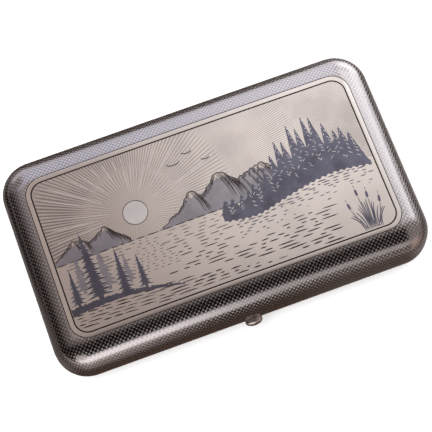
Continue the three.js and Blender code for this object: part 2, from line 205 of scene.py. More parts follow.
def pick_edges(obj: Object, rule: Rule) -> None:
    """Selects, in edit mode, only the edges whose two ends follow a rule.

    Args:
        obj: The object in edit mode.
        rule: Takes the edge's ends in millimetres.
    """
    bpy.ops.mesh.select_all(action="DESELECT")
    shape = bmesh.from_edit_mesh(obj.data)
    for edge in shape.edges:
        edge.select_set(rule(edge.verts[0].co / MM, edge.verts[1].co / MM))
    bmesh.update_edit_mesh(obj.data)


def extrude(x: float, y: float, z: float) -> None:
    """Extrudes what is selected in edit mode by a way in millimetres."""
    bpy.ops.mesh.extrude_region_move(TRANSFORM_OT_translate={"value": (x * MM, y * MM, z * MM)})


def inset(width: float, rise: float) -> None:
    """Insets the faces selected in edit mode and lifts their middle, in millimetres."""
    bpy.ops.mesh.inset(thickness=width * MM, depth=rise * MM, use_even_offset=True)


def slice_across(places: Iterable[float]) -> None:
    """Cuts the mesh in edit mode across at places along X and selects all of it.

    Args:
        places: The places, in millimetres.
    """
    for place in places:
        bpy.ops.mesh.select_all(action="SELECT")
        bpy.ops.mesh.bisect(plane_co=(place * MM, 0, 0), plane_no=(1, 0, 0))
    bpy.ops.mesh.select_all(action="SELECT")


def move_vertices(obj: Object, place: Callable[[np.ndarray], np.ndarray]) -> None:
    """Moves a mesh's vertices, in object mode.

    Args:
        obj: The object to change.
        place: Takes the vertices in millimetres, one row each, and returns them moved.
    """
    count = len(obj.data.vertices)
    flat = np.empty(count * 3, np.float64)
    obj.data.vertices.foreach_get("co", flat)
    moved = place(flat.reshape(count, 3) / MM) * MM
    obj.data.vertices.foreach_set("co", moved.ravel())
    obj.data.update()


def apply_modifier(obj: Object, kind: str, **settings: object) -> None:
    """Adds a modifier and applies it.

    Args:
        obj: The object to change.
        kind: The modifier's type.
        **settings: Values of the modifier's fields.
    """
    activate(obj)
    modifier = obj.modifiers.new(kind.title(), kind)
    for name, value in settings.items():
        setattr(modifier, name, value)
    bpy.ops.object.modifier_apply(modifier=modifier.name)


def cut_away(obj: Object, cutters: Iterable[Object], slot: int = 0) -> None:
    """Cuts solids out of a piece and removes them.

    Args:
        obj: The piece.
        cutters: The solids.
        slot: The material slot that the cut faces take.
    """
    for cutter in cutters:
        cutter.data.polygons.foreach_set("material_index", [slot] * len(cutter.data.polygons))
        apply_modifier(obj, "BOOLEAN", operation="DIFFERENCE", solver="EXACT", object=cutter)
        bpy.data.objects.remove(cutter)


def join_solid(obj: Object, other: Object) -> None:
    """Joins a solid to a piece and removes it."""
    apply_modifier(obj, "BOOLEAN", operation="UNION", solver="EXACT", object=other)
    bpy.data.objects.remove(other)


def seat(obj: Object, name: str) -> Object:
    """Names an object and puts its place into its mesh.

    Args:
        obj: The object.
        name: Its name and its mesh's.

    Returns:
        The same object.
    """
    obj.name = name
    obj.data.name = name
    activate(obj)
    bpy.ops.object.transform_apply(location=True, rotation=True, scale=True)
    return obj


def recalculate(obj: Object) -> None:
    """Merges doubled vertices and turns every face outwards.

    Args:
        obj: The object to change.
    """
    with editing(obj):
        bpy.ops.mesh.remove_doubles(threshold=MERGE * MM)
        bpy.ops.mesh.normals_make_consistent(inside=False)


def bar(
    name: str, radius: float, length: float, middle: Point, axis: Axis, sides: int = 48
) -> Object:
    """Adds a round bar.

    Args:
        name: The piece's name.
        radius: Its radius.
        length: Its length.
        middle: Its middle.
        axis: The axis that it lies along.
        sides: How many flats its round has.

    Returns:
        The bar, with its place in its mesh.
    """
    deselect_all()
    bpy.ops.mesh.primitive_cylinder_add(
        vertices=sides,
        radius=radius * MM,
        depth=length * MM,
        location=Vector(middle) * MM,
        rotation=axis.value,
    )
    return seat(bpy.context.object, name)


def block(name: str, low: Point, high: Point) -> Object:
    """Adds a box between two corners.

    Args:
        name: The piece's name.
        low: Its lowest corner.
        high: Its highest corner.

    Returns:
        The box, with its place in its mesh.
    """
    deselect_all()
    bpy.ops.mesh.primitive_cube_add(size=1, location=(Vector(low) + Vector(high)) * MM / 2)
    obj = bpy.context.object
    obj.scale = (Vector(high) - Vector(low)) * MM
    return seat(obj, name)


def profile_bar(name: str, points: Path, start: float, end: float) -> Object:
    """Extrudes a closed outline of the YZ plane along X.

    Args:
        name: The piece's name.
        points: The outline's (y, z) points.
        start: The lower X.
        end: The higher X.

    Returns:
        The closed piece.
    """
    deselect_all()
    bpy.ops.mesh.primitive_circle_add(
        vertices=len(points), radius=MM, fill_type="NGON", rotation=Axis.X.value
    )
    obj = seat(bpy.context.object, name)
    move_vertices(obj, lambda _: np.array([(start, y, z) for y, z in points]))
    with editing(obj):
        extrude(end - start, 0, 0)
        bpy.ops.mesh.select_all(action="SELECT")
        bpy.ops.mesh.normals_make_consistent(inside=False)
    return obj


def rounded_plate(
    name: str, halves: Flat, radius: float, height: float, face_down: bool = False
) -> Object:
    """Adds one flat face with round corners, about the case's own middle.

    Args:
        name: The piece's name.
        halves: Its half length and half width.
        radius: Its corners' radius.
        height: Where it lies on Z.
        face_down: Whether it faces down.

    Returns:
        The plate.
    """
    deselect_all()
    bpy.ops.mesh.primitive_plane_add(
        size=2, location=(0, 0, height * MM), rotation=(math.pi if face_down else 0, 0, 0)
    )
    obj = bpy.context.object
    obj.scale = (halves[0] * MM, halves[1] * MM, 1)
    seat(obj, name)
    with editing(obj, "VERT"):
        bpy.ops.mesh.bevel(
            offset=radius * MM, segments=CORNER_STEPS, affect="VERTICES", profile=0.5
        )
    return obj


def turned(name: str, profile: Path, middle: Point, axis: Axis, steps: int) -> Object:
    """Spins a profile round an axis, as on a lathe.

    Args:
        name: The piece's name.
        profile: (radius, distance along the axis) points, from one pole to the other.
        middle: Where the axis has distance 0.
        axis: The axis.
        steps: Facets of a whole turn.

    Returns:
        The closed piece.
    """
    deselect_all()
    bpy.ops.mesh.primitive_circle_add(vertices=len(profile), radius=MM)
    obj = bpy.context.object
    move_vertices(obj, lambda _: np.array([(r, 0.0, along) for r, along in profile]))
    core = abs(profile[-1][1] - profile[0][1])

    def on_axis(a: Vector, b: Vector) -> bool:
        """True for the edge from pole to pole."""
        return max(a.x, b.x) < TOUCH and abs(abs(a.z - b.z) - core) < TOUCH

    with editing(obj, "EDGE"):
        pick_edges(obj, on_axis)
        bpy.ops.mesh.delete(type="EDGE")
        bpy.ops.mesh.select_all(action="SELECT")
        bpy.ops.mesh.spin(steps=steps, angle=2 * math.pi, center=(0, 0, 0), axis=(0, 0, 1))
    recalculate(obj)
    obj.rotation_euler = axis.value
    obj.location = Vector(middle) * MM
    return seat(obj, name)


def soften(obj: Object, width: float, angle: float = 40) -> None:
    """Rounds a piece's sharp edges.

    Args:
        obj: The piece.
        width: The rounding's width.
        angle: Edges that turn by more degrees than this are rounded.
    """
    limit = math.radians(angle)
    apply_modifier(
        obj, "BEVEL", width=width * MM, segments=2, limit_method="ANGLE", angle_limit=limit
    )


def smooth(obj: Object, angle: float = 35) -> None:
    """Shades a piece smooth, except across edges sharper than an angle in degrees."""
    activate(obj)
    bpy.ops.object.shade_smooth_by_angle(angle=math.radians(angle))


def copy_along_x(obj: Object, name: str, shift: float) -> Object:
    """Copies a piece with its own mesh and moves the copy along X.

    Args:
        obj: The piece to copy.
        name: The copy's name.
        shift: How far the copy is moved.

    Returns:
        The copy, with its place in its mesh.
    """
    activate(obj)
    bpy.ops.object.duplicate(linked=False)
    copy = bpy.context.object
    copy.location.x += shift * MM
    return seat(copy, name)


def finish_piece(
    obj: Object,
    body: Body,
    slot: Slot,
    materials: Sequence[Material],
    stands_for: Sequence[str] = (),
    angle: float | None = 35,
) -> None:
    """Gives a piece its materials, its place in the frame and its shading.

    Args:
        obj: The finished mesh.
        body: The body it rides on.
        slot: The record's slot for the piece; not used.
        materials: Its materials.
        stands_for: The CAD nodes that it replaces.
        angle: Edges sharper than this many degrees stay sharp; none for a flat piece.
    """
    for k, material in enumerate(materials):
        if k < len(obj.data.materials):
            obj.data.materials[k] = material
        else:
            obj.data.materials.append(material)
    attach(obj, body.value)
    if stands_for:
        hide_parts(*stands_for)
    if angle is not None:
        smooth(obj, angle)
    log.info("%s: %d faces", obj.name, len(obj.data.polygons))


# Shader maths


class Wire:
    """A value that flows through a material's nodes, written in plain maths."""

    def __init__(self, graph: Graph, socket: bpy.types.NodeSocket) -> None:
        """Wraps an output socket of a graph."""
        self.graph = graph
        self.socket = socket

    def math(self, operation: str, *values: Wire | float) -> Wire:
        """Adds a Math node on this value and others."""
        inputs = dict(enumerate([self, *values]))
        return self.graph.wire("ShaderNodeMath", {"operation": operation}, inputs)

    def __add__(self, other: Wire | float) -> Wire:
        """This value plus another."""
        return self.math("ADD", other)

    __radd__ = __add__

    def __mul__(self, other: Wire | float) -> Wire:
        """This value times another."""
        return self.math("MULTIPLY", other)

    __rmul__ = __mul__

    def __sub__(self, other: Wire | float) -> Wire:
        """This value less another."""
        return self.math("SUBTRACT", other)

    def __rsub__(self, other: float) -> Wire:
        """A number less this value."""
        return self * -1.0 + other

    def __truediv__(self, other: Wire | float) -> Wire:
        """This value over another."""
        return self.math("DIVIDE", other)

    def __pow__(self, power: float) -> Wire:
        """This value to a power."""
        return self.math("POWER", power)

    def __gt__(self, other: Wire | float) -> Wire:
        """1 where this value is the greater, else 0."""
        return self.math("GREATER_THAN", other)

    def __lt__(self, other: Wire | float) -> Wire:
        """1 where this value is the less, else 0."""
        return self.math("LESS_THAN", other)

    def __abs__(self) -> Wire:
        """This value without its sign."""
        return self.math("ABSOLUTE")

    def floor(self) -> Wire:
        """The whole number below this value."""
        return self.math("FLOOR")

    def part(self) -> Wire:
        """What is left above the whole number below this value."""
        return self.math("FRACT")

    def step(self, low: float, high: float, start: float = 0.0, end: float = 1.0) -> Wire:
        """A smooth step of this value from start, up to low, to end, from high on."""
        inputs = {"Value": self, "From Min": low, "From Max": high, "To Min": start, "To Max": end}
        return self.graph.wire("ShaderNodeMapRange", {"interpolation_type": "SMOOTHSTEP"}, inputs)

    def fall(self, low: float, high: float) -> Wire:
        """A smooth step of this value from 1 down to 0."""
        return self.step(low, high, 1.0, 0.0)

    def span(self, none: float, full: float, still: float, gone: float) -> Wire:
        """1 from full to still, with a smooth step down to 0 at each side."""
        return self.step(none, full) * self.fall(still, gone)


class Graph:
    """The nodes of one material or of the world."""

    def __init__(self, name: str, world: bool = False) -> None:
        """Starts a material, or a world, with an empty node tree.

        Args:
            name: Its name.
            world: Whether it is a world.
        """
        self.owner = (bpy.data.worlds if world else bpy.data.materials).new(name)
        self.owner.use_nodes = True
        self.tree = self.owner.node_tree
        self.tree.nodes.clear()

    def node(
        self, kind: str, settings: dict | None = None, inputs: dict | None = None
    ) -> bpy.types.Node:
        """Adds a node.

        Args:
            kind: The node's type.
            settings: Its own fields, set first.
            inputs: A value or a Wire for each named or numbered input.

        Returns:
            The node.
        """
        node = self.tree.nodes.new(kind)
        for name, value in (settings or {}).items():
            setattr(node, name, value)
        for name, value in (inputs or {}).items():
            if isinstance(value, Wire):
                self.tree.links.new(value.socket, node.inputs[name])
            else:
                node.inputs[name].default_value = value
        return node

    def wire(
        self,
        kind: str,
        settings: dict | None = None,
        inputs: dict | None = None,
        output: int | str = 0,
    ) -> Wire:
        """Adds a node and returns one of its outputs as a Wire."""
        return Wire(self, self.node(kind, settings, inputs).outputs[output])

    def mix(self, factor: Wire | float, first: Wire | Colour, second: Wire | Colour) -> Wire:
        """Blends two colours: the first at a factor of 0, the second at 1."""
        inputs = {0: factor, 6: first, 7: second}
        return self.wire("ShaderNodeMix", {"data_type": "RGBA"}, inputs, output=2)

    def blend(self, factor: Wire, first: Wire | float, second: Wire | float) -> Wire:
        """Blends two numbers, as mix blends two colours."""
        return self.wire("ShaderNodeMix", {"data_type": "FLOAT"}, {0: factor, 2: first, 3: second})

    def where(self) -> Wire:
        """The point's place on the case as a vector, in metres."""
        return self.wire("ShaderNodeTexCoord", output="Object")

    def parts(self, vector: Wire) -> list[Wire]:
        """A vector's three values."""
        split = self.node("ShaderNodeSeparateXYZ", inputs={0: vector})
        return [Wire(self, output) for output in split.outputs]

    def place(self) -> list[Wire]:
        """The point's place on the case in millimetres, as three values."""
        return [value * (1 / MM) for value in self.parts(self.where())]

    def flat_place(self, name: str) -> list[Wire]:
        """The point's two values on a UV map."""
        return self.parts(self.wire("ShaderNodeUVMap", {"uv_map": name}))[:2]

    def noise(
        self,
        scale: float,
        detail: float = 2.0,
        stretch: Point = (1, 1, 1),
        turn: float = 0.0,
    ) -> Wire:
        """A noise over the case.

        Args:
            scale: Features in a metre.
            detail: How many finer layers it has.
            stretch: How much longer its features are along each axis.
            turn: How far its pattern is turned about Z, in radians.

        Returns:
            A value about 0.5.
        """
        turned_by = {"Vector": self.where(), "Rotation": (0, 0, turn), "Scale": tuple(stretch)}
        mapped = self.wire("ShaderNodeMapping", {"vector_type": "TEXTURE"}, turned_by)
        inputs = {"Vector": mapped, "Scale": scale, "Detail": detail}
        return self.wire("ShaderNodeTexNoise", inputs=inputs)

    def bump(self, height: Wire, distance: float, strength: float) -> Wire:
        """A normal from a height of 0 to 1, where 1 stands for a distance in millimetres."""
        inputs = {"Height": height, "Distance": distance * MM, "Strength": strength}
        return self.wire("ShaderNodeBump", inputs=inputs)

    def surface(self, **inputs: object) -> Material:
        """Ends the material in a Principled surface.

        Args:
            **inputs: Values or Wires, with _ for the blank in a socket's name.

        Returns:
            The material.
        """
        named = {name.replace("_", " "): value for name, value in inputs.items()}
        shader = self.wire("ShaderNodeBsdfPrincipled", inputs=named)
        self.node("ShaderNodeOutputMaterial", inputs={"Surface": shader})
        return self.owner

    def shining(self, colour: Wire | Colour) -> Material:
        """Ends the material in a surface that only shines.

        Args:
            colour: The colour that it shines in.

        Returns:
            The material.
        """
        black = (0.0, 0.0, 0.0, 1.0)
        return self.surface(
            Base_Color=black, Specular_IOR_Level=0.0, Emission_Color=colour, Emission_Strength=1.0
        )

    def seen_or_mirrored(self) -> Wire:
        """1 for what the camera sees, straight or in metal or glass, else 0.

        Returns:
            The 1 or 0.
        """
        rays = self.node("ShaderNodeLightPath")
        seen = Wire(self, rays.outputs["Is Camera Ray"])
        for name in ("Is Glossy Ray", "Is Transmission Ray"):
            seen = seen.math("MAXIMUM", Wire(self, rays.outputs[name]))
        return seen


def scratches(graph: Graph, fineness: float = 1.0) -> Wire:
    """Fine handling scratches that cross each other, as a height of 0 to about 1.

    Args:
        graph: The material's graph.
        fineness: How much finer than usual they are.

    Returns:
        The height.
    """
    total: Wire | float = 0.0
    for turn, scale in ((0.35, 5200.0), (-0.8, 6400.0), (1.35, 5800.0)):
        line = graph.noise(scale * fineness, 1.0, (36.0, 1.0, 4.0), turn)
        total = total + line.step(0.60, 0.78)
    return total * 0.6


# Finishes


@dataclass(frozen=True)
class Frame:
    """The plain frame round the panel, measured from its outer edge."""

    half_length: float = 48.5
    half_width: float = 24.6
    radius: float = 5.5
    outer_line: float = 0.2
    band: float = 1.4
    inner_line: float = 0.42


BORDER = Frame()


@dataclass(frozen=True)
class CaseSilver:
    """Silver with a niello chequer on its rounded edge, a plain frame and a panel."""

    name: str = "case_silver"
    silver: Colour = (0.80, 0.76, 0.735, 1)
    dull: Colour = (0.624, 0.5928, 0.5733, 1)
    niello: Colour = (0.44, 0.43, 0.455, 1)
    line: Colour = (0.045, 0.038, 0.036, 1)
    cell: float = 0.6235
    light_half: float = 0.38
    strip: float = 0.975
    overlap: float = 0.03
    engraved_sky: bool = True
    cut: Colour = (0.20, 0.175, 0.165, 1)
    rings: tuple[tuple[int, float, float], ...] = (
        (80, 0.0, 15.0),
        (160, 11.0, 31.0),
        (480, 27.0, 54.0),
        (960, 49.0, 200.0),
    )
    ring_blend: float = 4.0

    def from_frame(self, x: Wire, y: Wire) -> Wire:
        """The distance outside the frame's outer edge, less than 0 inside it.

        Args:
            x: The point's X.
            y: The point's Y.

        Returns:
            The distance in millimetres.
        """
        b = BORDER
        across = abs(x) - (b.half_length - b.radius)
        along = abs(y) - (b.half_width - b.radius)
        outside = (across.math("MAXIMUM", 0.0) ** 2 + along.math("MAXIMUM", 0.0) ** 2).math("SQRT")
        inside = across.math("MAXIMUM", along).math("MINIMUM", 0.0)
        return outside + inside - b.radius

    def chequer(self, graph: Graph) -> Wire:
        """1 on the silver squares of the chequer, else 0.

        Args:
            graph: The material's graph.

        Returns:
            The 1 or 0.
        """
        u, v = (value / self.cell for value in graph.flat_place("chequer"))
        even = ((u.floor() + v.floor()) * 0.5).part() < 0.25
        for value in (u, v):
            even = even * (abs(value.part() - 0.5) < self.light_half)
        return even

    def sky(self, graph: Graph, x: Wire, y: Wire) -> Wire:
        """Fine rays cut round the sun, deeper further out.

        Args:
            graph: The material's graph.
            x: The point's X.
            y: The point's Y.

        Returns:
            Their depth, from 0 to 1.
        """
        dx, dy = x - CASE.sun[0], y - CASE.sun[1]
        distance = (dx * dx + dy * dy).math("SQRT")
        turn = dy.math("ARCTAN2", dx) / (2 * math.pi)
        wobble = graph.noise(60.0) * 0.0016
        uneven = graph.noise(150.0).step(0.3, 0.7, -0.12, 0.12)
        lines: Wire | float = 0.0
        for count, near, far in self.rings:
            wave = abs(((turn + wobble) * float(count)).part() - 0.5) * 2.0
            shows = distance.span(near, near + self.ring_blend, far - self.ring_blend, far)
            lines = ((wave + uneven).step(0.36, 0.74) * shows).math("MAXIMUM", lines)
        across = x.step(-34.0, 8.0, 0.98, 0.40) + x.step(12.0, 38.0, 0.0, 0.26)
        depth = distance.step(4.0, 20.0, 0.40, 1.0) * across
        return lines * depth * (y > CASE.shore)

    def build(self) -> Material:
        """Makes the material.

        Returns:
            The material.
        """
        graph = Graph(self.name)
        b = BORDER
        x, y, z = graph.place()
        edge = self.from_frame(x, y)
        inner_edge = -(b.band + b.inner_line)
        chequered = (edge > 0.0) * (abs(z - CASE.seam) > self.strip)
        line_outer = (edge > -b.outer_line) * (edge < self.overlap)
        line_inner = (edge > inner_edge) * (edge < -b.band)
        panel = edge < inner_edge
        light = graph.blend(chequered, 1.0, self.chequer(graph))
        lines = line_outer.math("MAXIMUM", line_inner)
        tarnish = graph.noise(45.0, 4.0).step(0.38, 0.72)
        silver = graph.mix(tarnish * 0.35, self.silver, self.dull)
        height = light * 0.25 - lines * 0.3 + scratches(graph) * 0.06
        plain = graph.blend(chequered, 0.18, 0.38)
        rough = graph.blend(light, 0.12, plain) + tarnish * 0.04 + lines * 0.2
        if self.engraved_sky:
            cut = self.sky(graph, x, y) * panel
            silver = graph.mix(cut * 0.75, silver, self.cut)
            height = height - cut * 0.2
            rough = rough + cut * 0.12
        colour = graph.mix(lines, graph.mix(light, self.niello, silver), self.line)
        normal = graph.bump(height, 0.05, 0.35)
        return graph.surface(Base_Color=colour, Metallic=1.0, Roughness=rough, Normal=normal)


@dataclass(frozen=True)
class Metal:
    """A plain metal with fine scratches and faint clouding."""

    name: str
    colour: Colour
    dull: Colour
    roughness: float = 0.25
    fineness: float = 1.0
    relief: float = 0.35

    def build(self) -> Material:
        """Makes the material.

        Returns:
            The material.
        """
        graph = Graph(self.name)
        cloud = graph.noise(220.0, 4.0).step(0.35, 0.75)
        marks = scratches(graph, self.fineness)
        return graph.surface(
            Base_Color=graph.mix(cloud, self.colour, self.dull),
            Metallic=1.0,
            Roughness=cloud * 0.08 + marks * 0.05 + self.roughness,
            Normal=graph.bump(marks, 0.02, self.relief),
        )


@dataclass(frozen=True)
class Woven:
    """Elastic webbing with ribs along it, on its own UV map in millimetres, with painted shade in
    the hollows of its weave.
    """

    name: str = "elastic"
    thread: Colour = (0.30, 0.22, 0.10, 1)
    # Painted shade: the darker colour that the hollows between ribs and picks take.
    shade: Colour = (0.12, 0.085, 0.04, 1)
    ribs: float = 1.8
    picks: float = 2.4

    def build(self) -> Material:
        """Makes the material.

        Returns:
            The material.
        """
        graph = Graph(self.name)
        u, v = graph.flat_place("weave")
        rib = abs((u * self.ribs).part() - 0.5) * 2.0
        stagger = (u * self.ribs).floor() * 0.5
        pick = abs((v * self.picks + stagger).part() - 0.5) * 2.0
        thread = (1.0 - rib ** 2) * (1.0 - 0.7 * pick ** 2)
        fuzz = graph.noise(4000.0)
        normal = graph.bump(thread + fuzz * 0.3, 0.12, 0.8)
        # Painted shade: the colour runs from the thread colour on the ribs to the darker shade
        # colour in the hollows.
        colour = graph.mix(thread * 0.8 + fuzz * 0.3, self.shade, self.thread)
        return graph.surface(Base_Color=colour, Roughness=fuzz * 0.1 + 0.75, Normal=normal)


SILVER = Metal("plain_silver", (0.80, 0.76, 0.735, 1), (0.70, 0.66, 0.63, 1), 0.20, relief=0.12)
GILT = Metal("gilt", (0.93, 0.73, 0.41, 1), (0.89, 0.685, 0.37, 1), 0.42, relief=0.12)
BUTTON = Metal("button_silver", (0.80, 0.75, 0.72, 1), (0.70, 0.65, 0.62, 1), 0.30, relief=0.12)
STEEL = Metal("steel", (0.50, 0.49, 0.48, 1), (0.38, 0.37, 0.36, 1), 0.30, 1.6)
PANEL_SILVER = Metal("panel_silver", (0.80, 0.76, 0.735, 1), (0.70, 0.66, 0.63, 1), 0.20)
BRIGHT_CUT = Metal("bright_cut", (0.97, 0.955, 0.94, 1), (0.92, 0.90, 0.88, 1), 0.48)
NIELLO = Metal("niello", (0.17, 0.175, 0.235, 1), (0.13, 0.13, 0.175, 1), 0.2)
PALE_NIELLO = Metal("pale_niello", (0.42, 0.415, 0.47, 1), (0.34, 0.335, 0.38, 1), 0.25)
LINE_NIELLO = Metal("line_niello", (0.09, 0.075, 0.075, 1), (0.06, 0.05, 0.05, 1), 0.25)


# Shells


@dataclass
class Shell:
    """One half of the case: a dished silver shell, rounded at its edge."""

    body: Body
    up: int
    crown: float = 0.0
    seam_gap: float = 0.05
    edge_steps: int = 18
    face_step: float = 0.4
    rim_round: float = 0.12
    way_steps: int = 400

    @property
    def mouth(self) -> float:
        """The height of the shell's mouth."""
        return CASE.seam + self.up * self.seam_gap

    def depth_at(self, turn: np.ndarray) -> np.ndarray:
        """How far in the skin lies at a turn round its edge, from 0 at the strip to a quarter."""
        return CASE.reach_in * (1 - np.cos(turn))

    def skin(self) -> Object:
        """The outer skin: an open dish with its mouth at the seam.

        Returns:
            The skin.
        """
        halves = (CASE.half_length, CASE.half_width)
        name = self.body.value + "_case"
        obj = rounded_plate(name, halves, CASE.corner, self.mouth, self.up < 0)
        turns = np.linspace(0, math.pi / 2, self.edge_steps + 1)
        rises = (CASE.height - CASE.strip) * np.sin(turns)
        with editing(obj):
            extrude(0, 0, self.up * (CASE.strip - self.seam_gap))
            for step_in, step_up in zip(np.diff(self.depth_at(turns)), np.diff(rises)):
                inset(step_in, step_up)
            inset(self.face_step, 0)
            pick_faces(obj, lambda middle, normal: abs(middle.z - self.mouth) < TOUCH)
            bpy.ops.mesh.delete(type="ONLY_FACE")
            slice_across(CASE.slices())
        return obj

    def raise_crown(self, points: np.ndarray) -> np.ndarray:
        """Lifts the face towards mid length.

        Args:
            points: The skin's points.

        Returns:
            The points, lifted.
        """
        rise = (points[:, 2] - CASE.seam) * self.up
        share = np.clip(rise / CASE.height, 0, 1) ** 2
        arch = 1 - (points[:, 0] / CASE.half_length) ** 2
        points[:, 2] += self.up * self.crown * arch * share
        return points

    def travel(self, depths: np.ndarray) -> np.ndarray:
        """The way over the skin from the strip to points further in.

        Args:
            depths: How far in the points lie, in plan.

        Returns:
            The way to each.
        """
        turns = np.linspace(0, math.pi / 2, self.way_steps)
        rise = CASE.height - CASE.strip
        speed = np.hypot(CASE.reach_in * np.sin(turns), rise * np.cos(turns))
        way = np.concatenate([[0], np.cumsum((speed[1:] + speed[:-1]) / 2 * np.diff(turns))])
        return np.interp(depths, self.depth_at(turns), way)

    def depth_in_plan(self, plan: np.ndarray) -> np.ndarray:
        """How far points in plan, without their signs, lie inside the case's outline."""
        q = plan - np.array([CASE.half_length - CASE.corner, CASE.half_width - CASE.corner])
        return CASE.corner - np.hypot(*np.maximum(q, 0).T) - np.minimum(q.max(1), 0)

    def chequer_place(self, points: np.ndarray) -> np.ndarray:
        """Where points of the skin would lie if it were rolled flat outwards from the frame.

        Args:
            points: The points, one row each.

        Returns:
            A flat X and Y for each, in millimetres.
        """
        plan = np.abs(points[:, :2])
        b = BORDER
        core = np.minimum(plan, np.array([b.half_length - b.radius, b.half_width - b.radius]))
        reach = np.maximum(np.hypot(*(plan - core).T), 1e-9)[:, None]
        away = (plan - core) / reach
        start = self.travel(self.depth_in_plan(core + b.radius * away))
        out = start - self.travel(self.depth_in_plan(plan))
        strip = np.clip(CASE.strip - np.abs(points[:, 2] - CASE.seam), 0, None)
        flat = core + (b.radius + out + strip)[:, None] * away
        return np.where(reach > b.radius, flat, plan) * np.where(points[:, :2] < 0, -1, 1)

    def lay_chequer(self, obj: Object) -> None:
        """Gives the skin its flat UV map for the chequer.

        Args:
            obj: The skin.
        """
        mesh = obj.data
        points = np.empty(len(mesh.vertices) * 3)
        mesh.vertices.foreach_get("co", points)
        places = self.chequer_place(points.reshape(-1, 3) / MM)
        corners = np.empty(len(mesh.loops), np.int64)
        mesh.loops.foreach_get("vertex_index", corners)
        layer = mesh.uv_layers.new(name="chequer")
        layer.uv.foreach_set("vector", places[corners].astype(np.float32).ravel())

    def on_mouth(self, a: Vector, b: Vector) -> bool:
        """True for an edge that runs round the mouth, not across its rim.

        Args:
            a: The edge's one end.
            b: Its other end.

        Returns:
            Whether it runs round the mouth.
        """
        if max(abs(a.z - self.mouth), abs(b.z - self.mouth)) > TOUCH:
            return False
        depths = self.depth_in_plan(np.abs(np.array([a.xy, b.xy])))
        return bool(abs(depths[0] - depths[1]) < CASE.wall / 3)

    def build(self, materials: Sequence[Material], cutters: Iterable[Object]) -> None:
        """Makes and dresses the shell: the skin, its wall and its softened rim.

        Args:
            materials: Those of its outside, its inside and its rim.
            cutters: The solids that are cut out of it.
        """
        obj = self.skin()
        move_vertices(obj, self.raise_crown)
        self.lay_chequer(obj)
        for _ in materials:
            obj.data.materials.append(None)
        apply_modifier(
            obj,
            "SOLIDIFY",
            thickness=CASE.wall * MM,
            offset=-1,
            use_even_offset=True,
            material_offset=1,
            material_offset_rim=2,
        )
        with editing(obj, "EDGE"):
            pick_edges(obj, self.on_mouth)
            bpy.ops.mesh.bevel(
                offset=self.rim_round * MM, segments=2, affect="EDGES", clamp_overlap=True
            )
        cut_away(obj, cutters, slot=2)
        node = self.body.value + "_shell"
        finish_piece(obj, self.body, Slot.CASE, materials, (node,))


# Hinge


@dataclass
class Hinge:
    """Nine knuckles in turn from base and lid, each with its leaf, on one pin."""

    y: float = 31.3
    z: float = 8.4
    length: float = 91.0
    barrel: float = 1.5
    pin: float = 0.65
    pin_dome: float = 0.22
    open_angle: float = 135.0
    stop_play: float = 2.0
    groove_play: float = 0.2
    bevel_reach: float = 16.8
    knuckles: int = 9
    gap: float = 0.2
    play: float = 0.08
    rounding: float = 0.12
    leaf: float = 0.6
    leaf_start: float = 1.115
    leaf_reach: float = 4.2
    leaf_steps: int = 10
    leaf_play: float = 0.01

    def cutters(self) -> list[Object]:
        """The groove for the barrel and the bevel that lets the lid fall right back.

        Returns:
            The two solids.
        """
        radius, length = self.barrel + self.groove_play, self.length + 2 * self.groove_play
        groove = bar("groove", radius, length, (0, self.y, self.z), Axis.X, 64)
        far = self.bevel_reach
        turn = math.radians(self.open_angle / 2 + self.stop_play)
        across, up = far * math.cos(turn), far * math.sin(turn)
        points = [
            (self.y, self.z),
            (self.y + across, self.z - up),
            (self.y + far, self.z - up),
            (self.y + far, self.z + up),
            (self.y + across, self.z + up),
        ]
        end = CASE.half_length + 1
        return [groove, profile_bar("bevel", points, -end, end)]

    def leaf_outline(self, side: int) -> list[Flat]:
        """The leaf's section, which follows the inside of the wall.

        Args:
            side: 1 for the lid, -1 for the base.

        Returns:
            Its (y, z) points.
        """
        wall_side, case_side = [], []
        for k in range(self.leaf_steps + 1):
            rise = self.leaf_start + (self.leaf_reach - self.leaf_start) * k / self.leaf_steps
            y = CASE.half_width - CASE.inset_at(rise, CASE.wall) - CASE.seat_gap
            wall_side.append((y, self.z + side * rise))
            case_side.append((y - self.leaf, self.z + side * rise))
        return [(self.y, self.z), *wall_side, *reversed(case_side)]

    def knuckle(self, name: str, side: int, start: float, end: float) -> Object:
        """Makes one knuckle with its leaf.

        Args:
            name: The piece's name.
            side: 1 for the lid, -1 for the base.
            start: Its lower X.
            end: Its higher X.

        Returns:
            The knuckle.
        """
        middle = ((start + end) / 2, self.y, self.z)
        barrel = bar(name, self.barrel, end - start, middle, Axis.X)
        soften(barrel, self.rounding, 60)
        outline, play = self.leaf_outline(side), self.leaf_play
        join_solid(barrel, profile_bar("leaf", outline, start + play, end - play))
        bore = bar("bore", self.pin + self.play, end - start + 2, middle, Axis.X, 32)
        cut_away(barrel, [bore])
        return barrel

    def build(self, silver: Material, steel: Material) -> None:
        """Makes and dresses the whole hinge.

        Args:
            silver: The knuckles' material.
            steel: The pin's material.
        """
        pitch = self.length / self.knuckles
        first: dict[int, Object] = {}
        pieces = []
        for k in range(self.knuckles):
            side = 1 if k % 2 else -1
            start = -self.length / 2 + k * pitch + self.gap / 2
            body = Body.LID if side > 0 else Body.BASE
            node = f"{body.value}_knuckle_{k // 2 + 1}"
            if side in first:
                piece = copy_along_x(first[side], node + "_round", (k // 2) * 2 * pitch)
            else:
                piece = self.knuckle(node + "_round", side, start, start + pitch - self.gap)
                first[side] = piece
            pieces.append((piece, body, node))
        for piece, body, node in pieces:
            finish_piece(piece, body, Slot.PLAIN, (silver,), (node,))
        half, turns = self.length / 2, np.linspace(0, math.pi / 2, 7)
        dome = [(self.pin * math.sin(t), self.pin_dome * (1 - math.cos(t))) for t in turns]
        profile = [(a, -half + b) for a, b in dome] + [(a, half - b) for a, b in reversed(dome)]
        pin = turned("hinge_pin_domed", profile, (0, self.y, self.z), Axis.X, 32)
        finish_piece(pin, Body.BASE, Slot.STEEL, (steel,), ("hinge_pin",))


# Catch


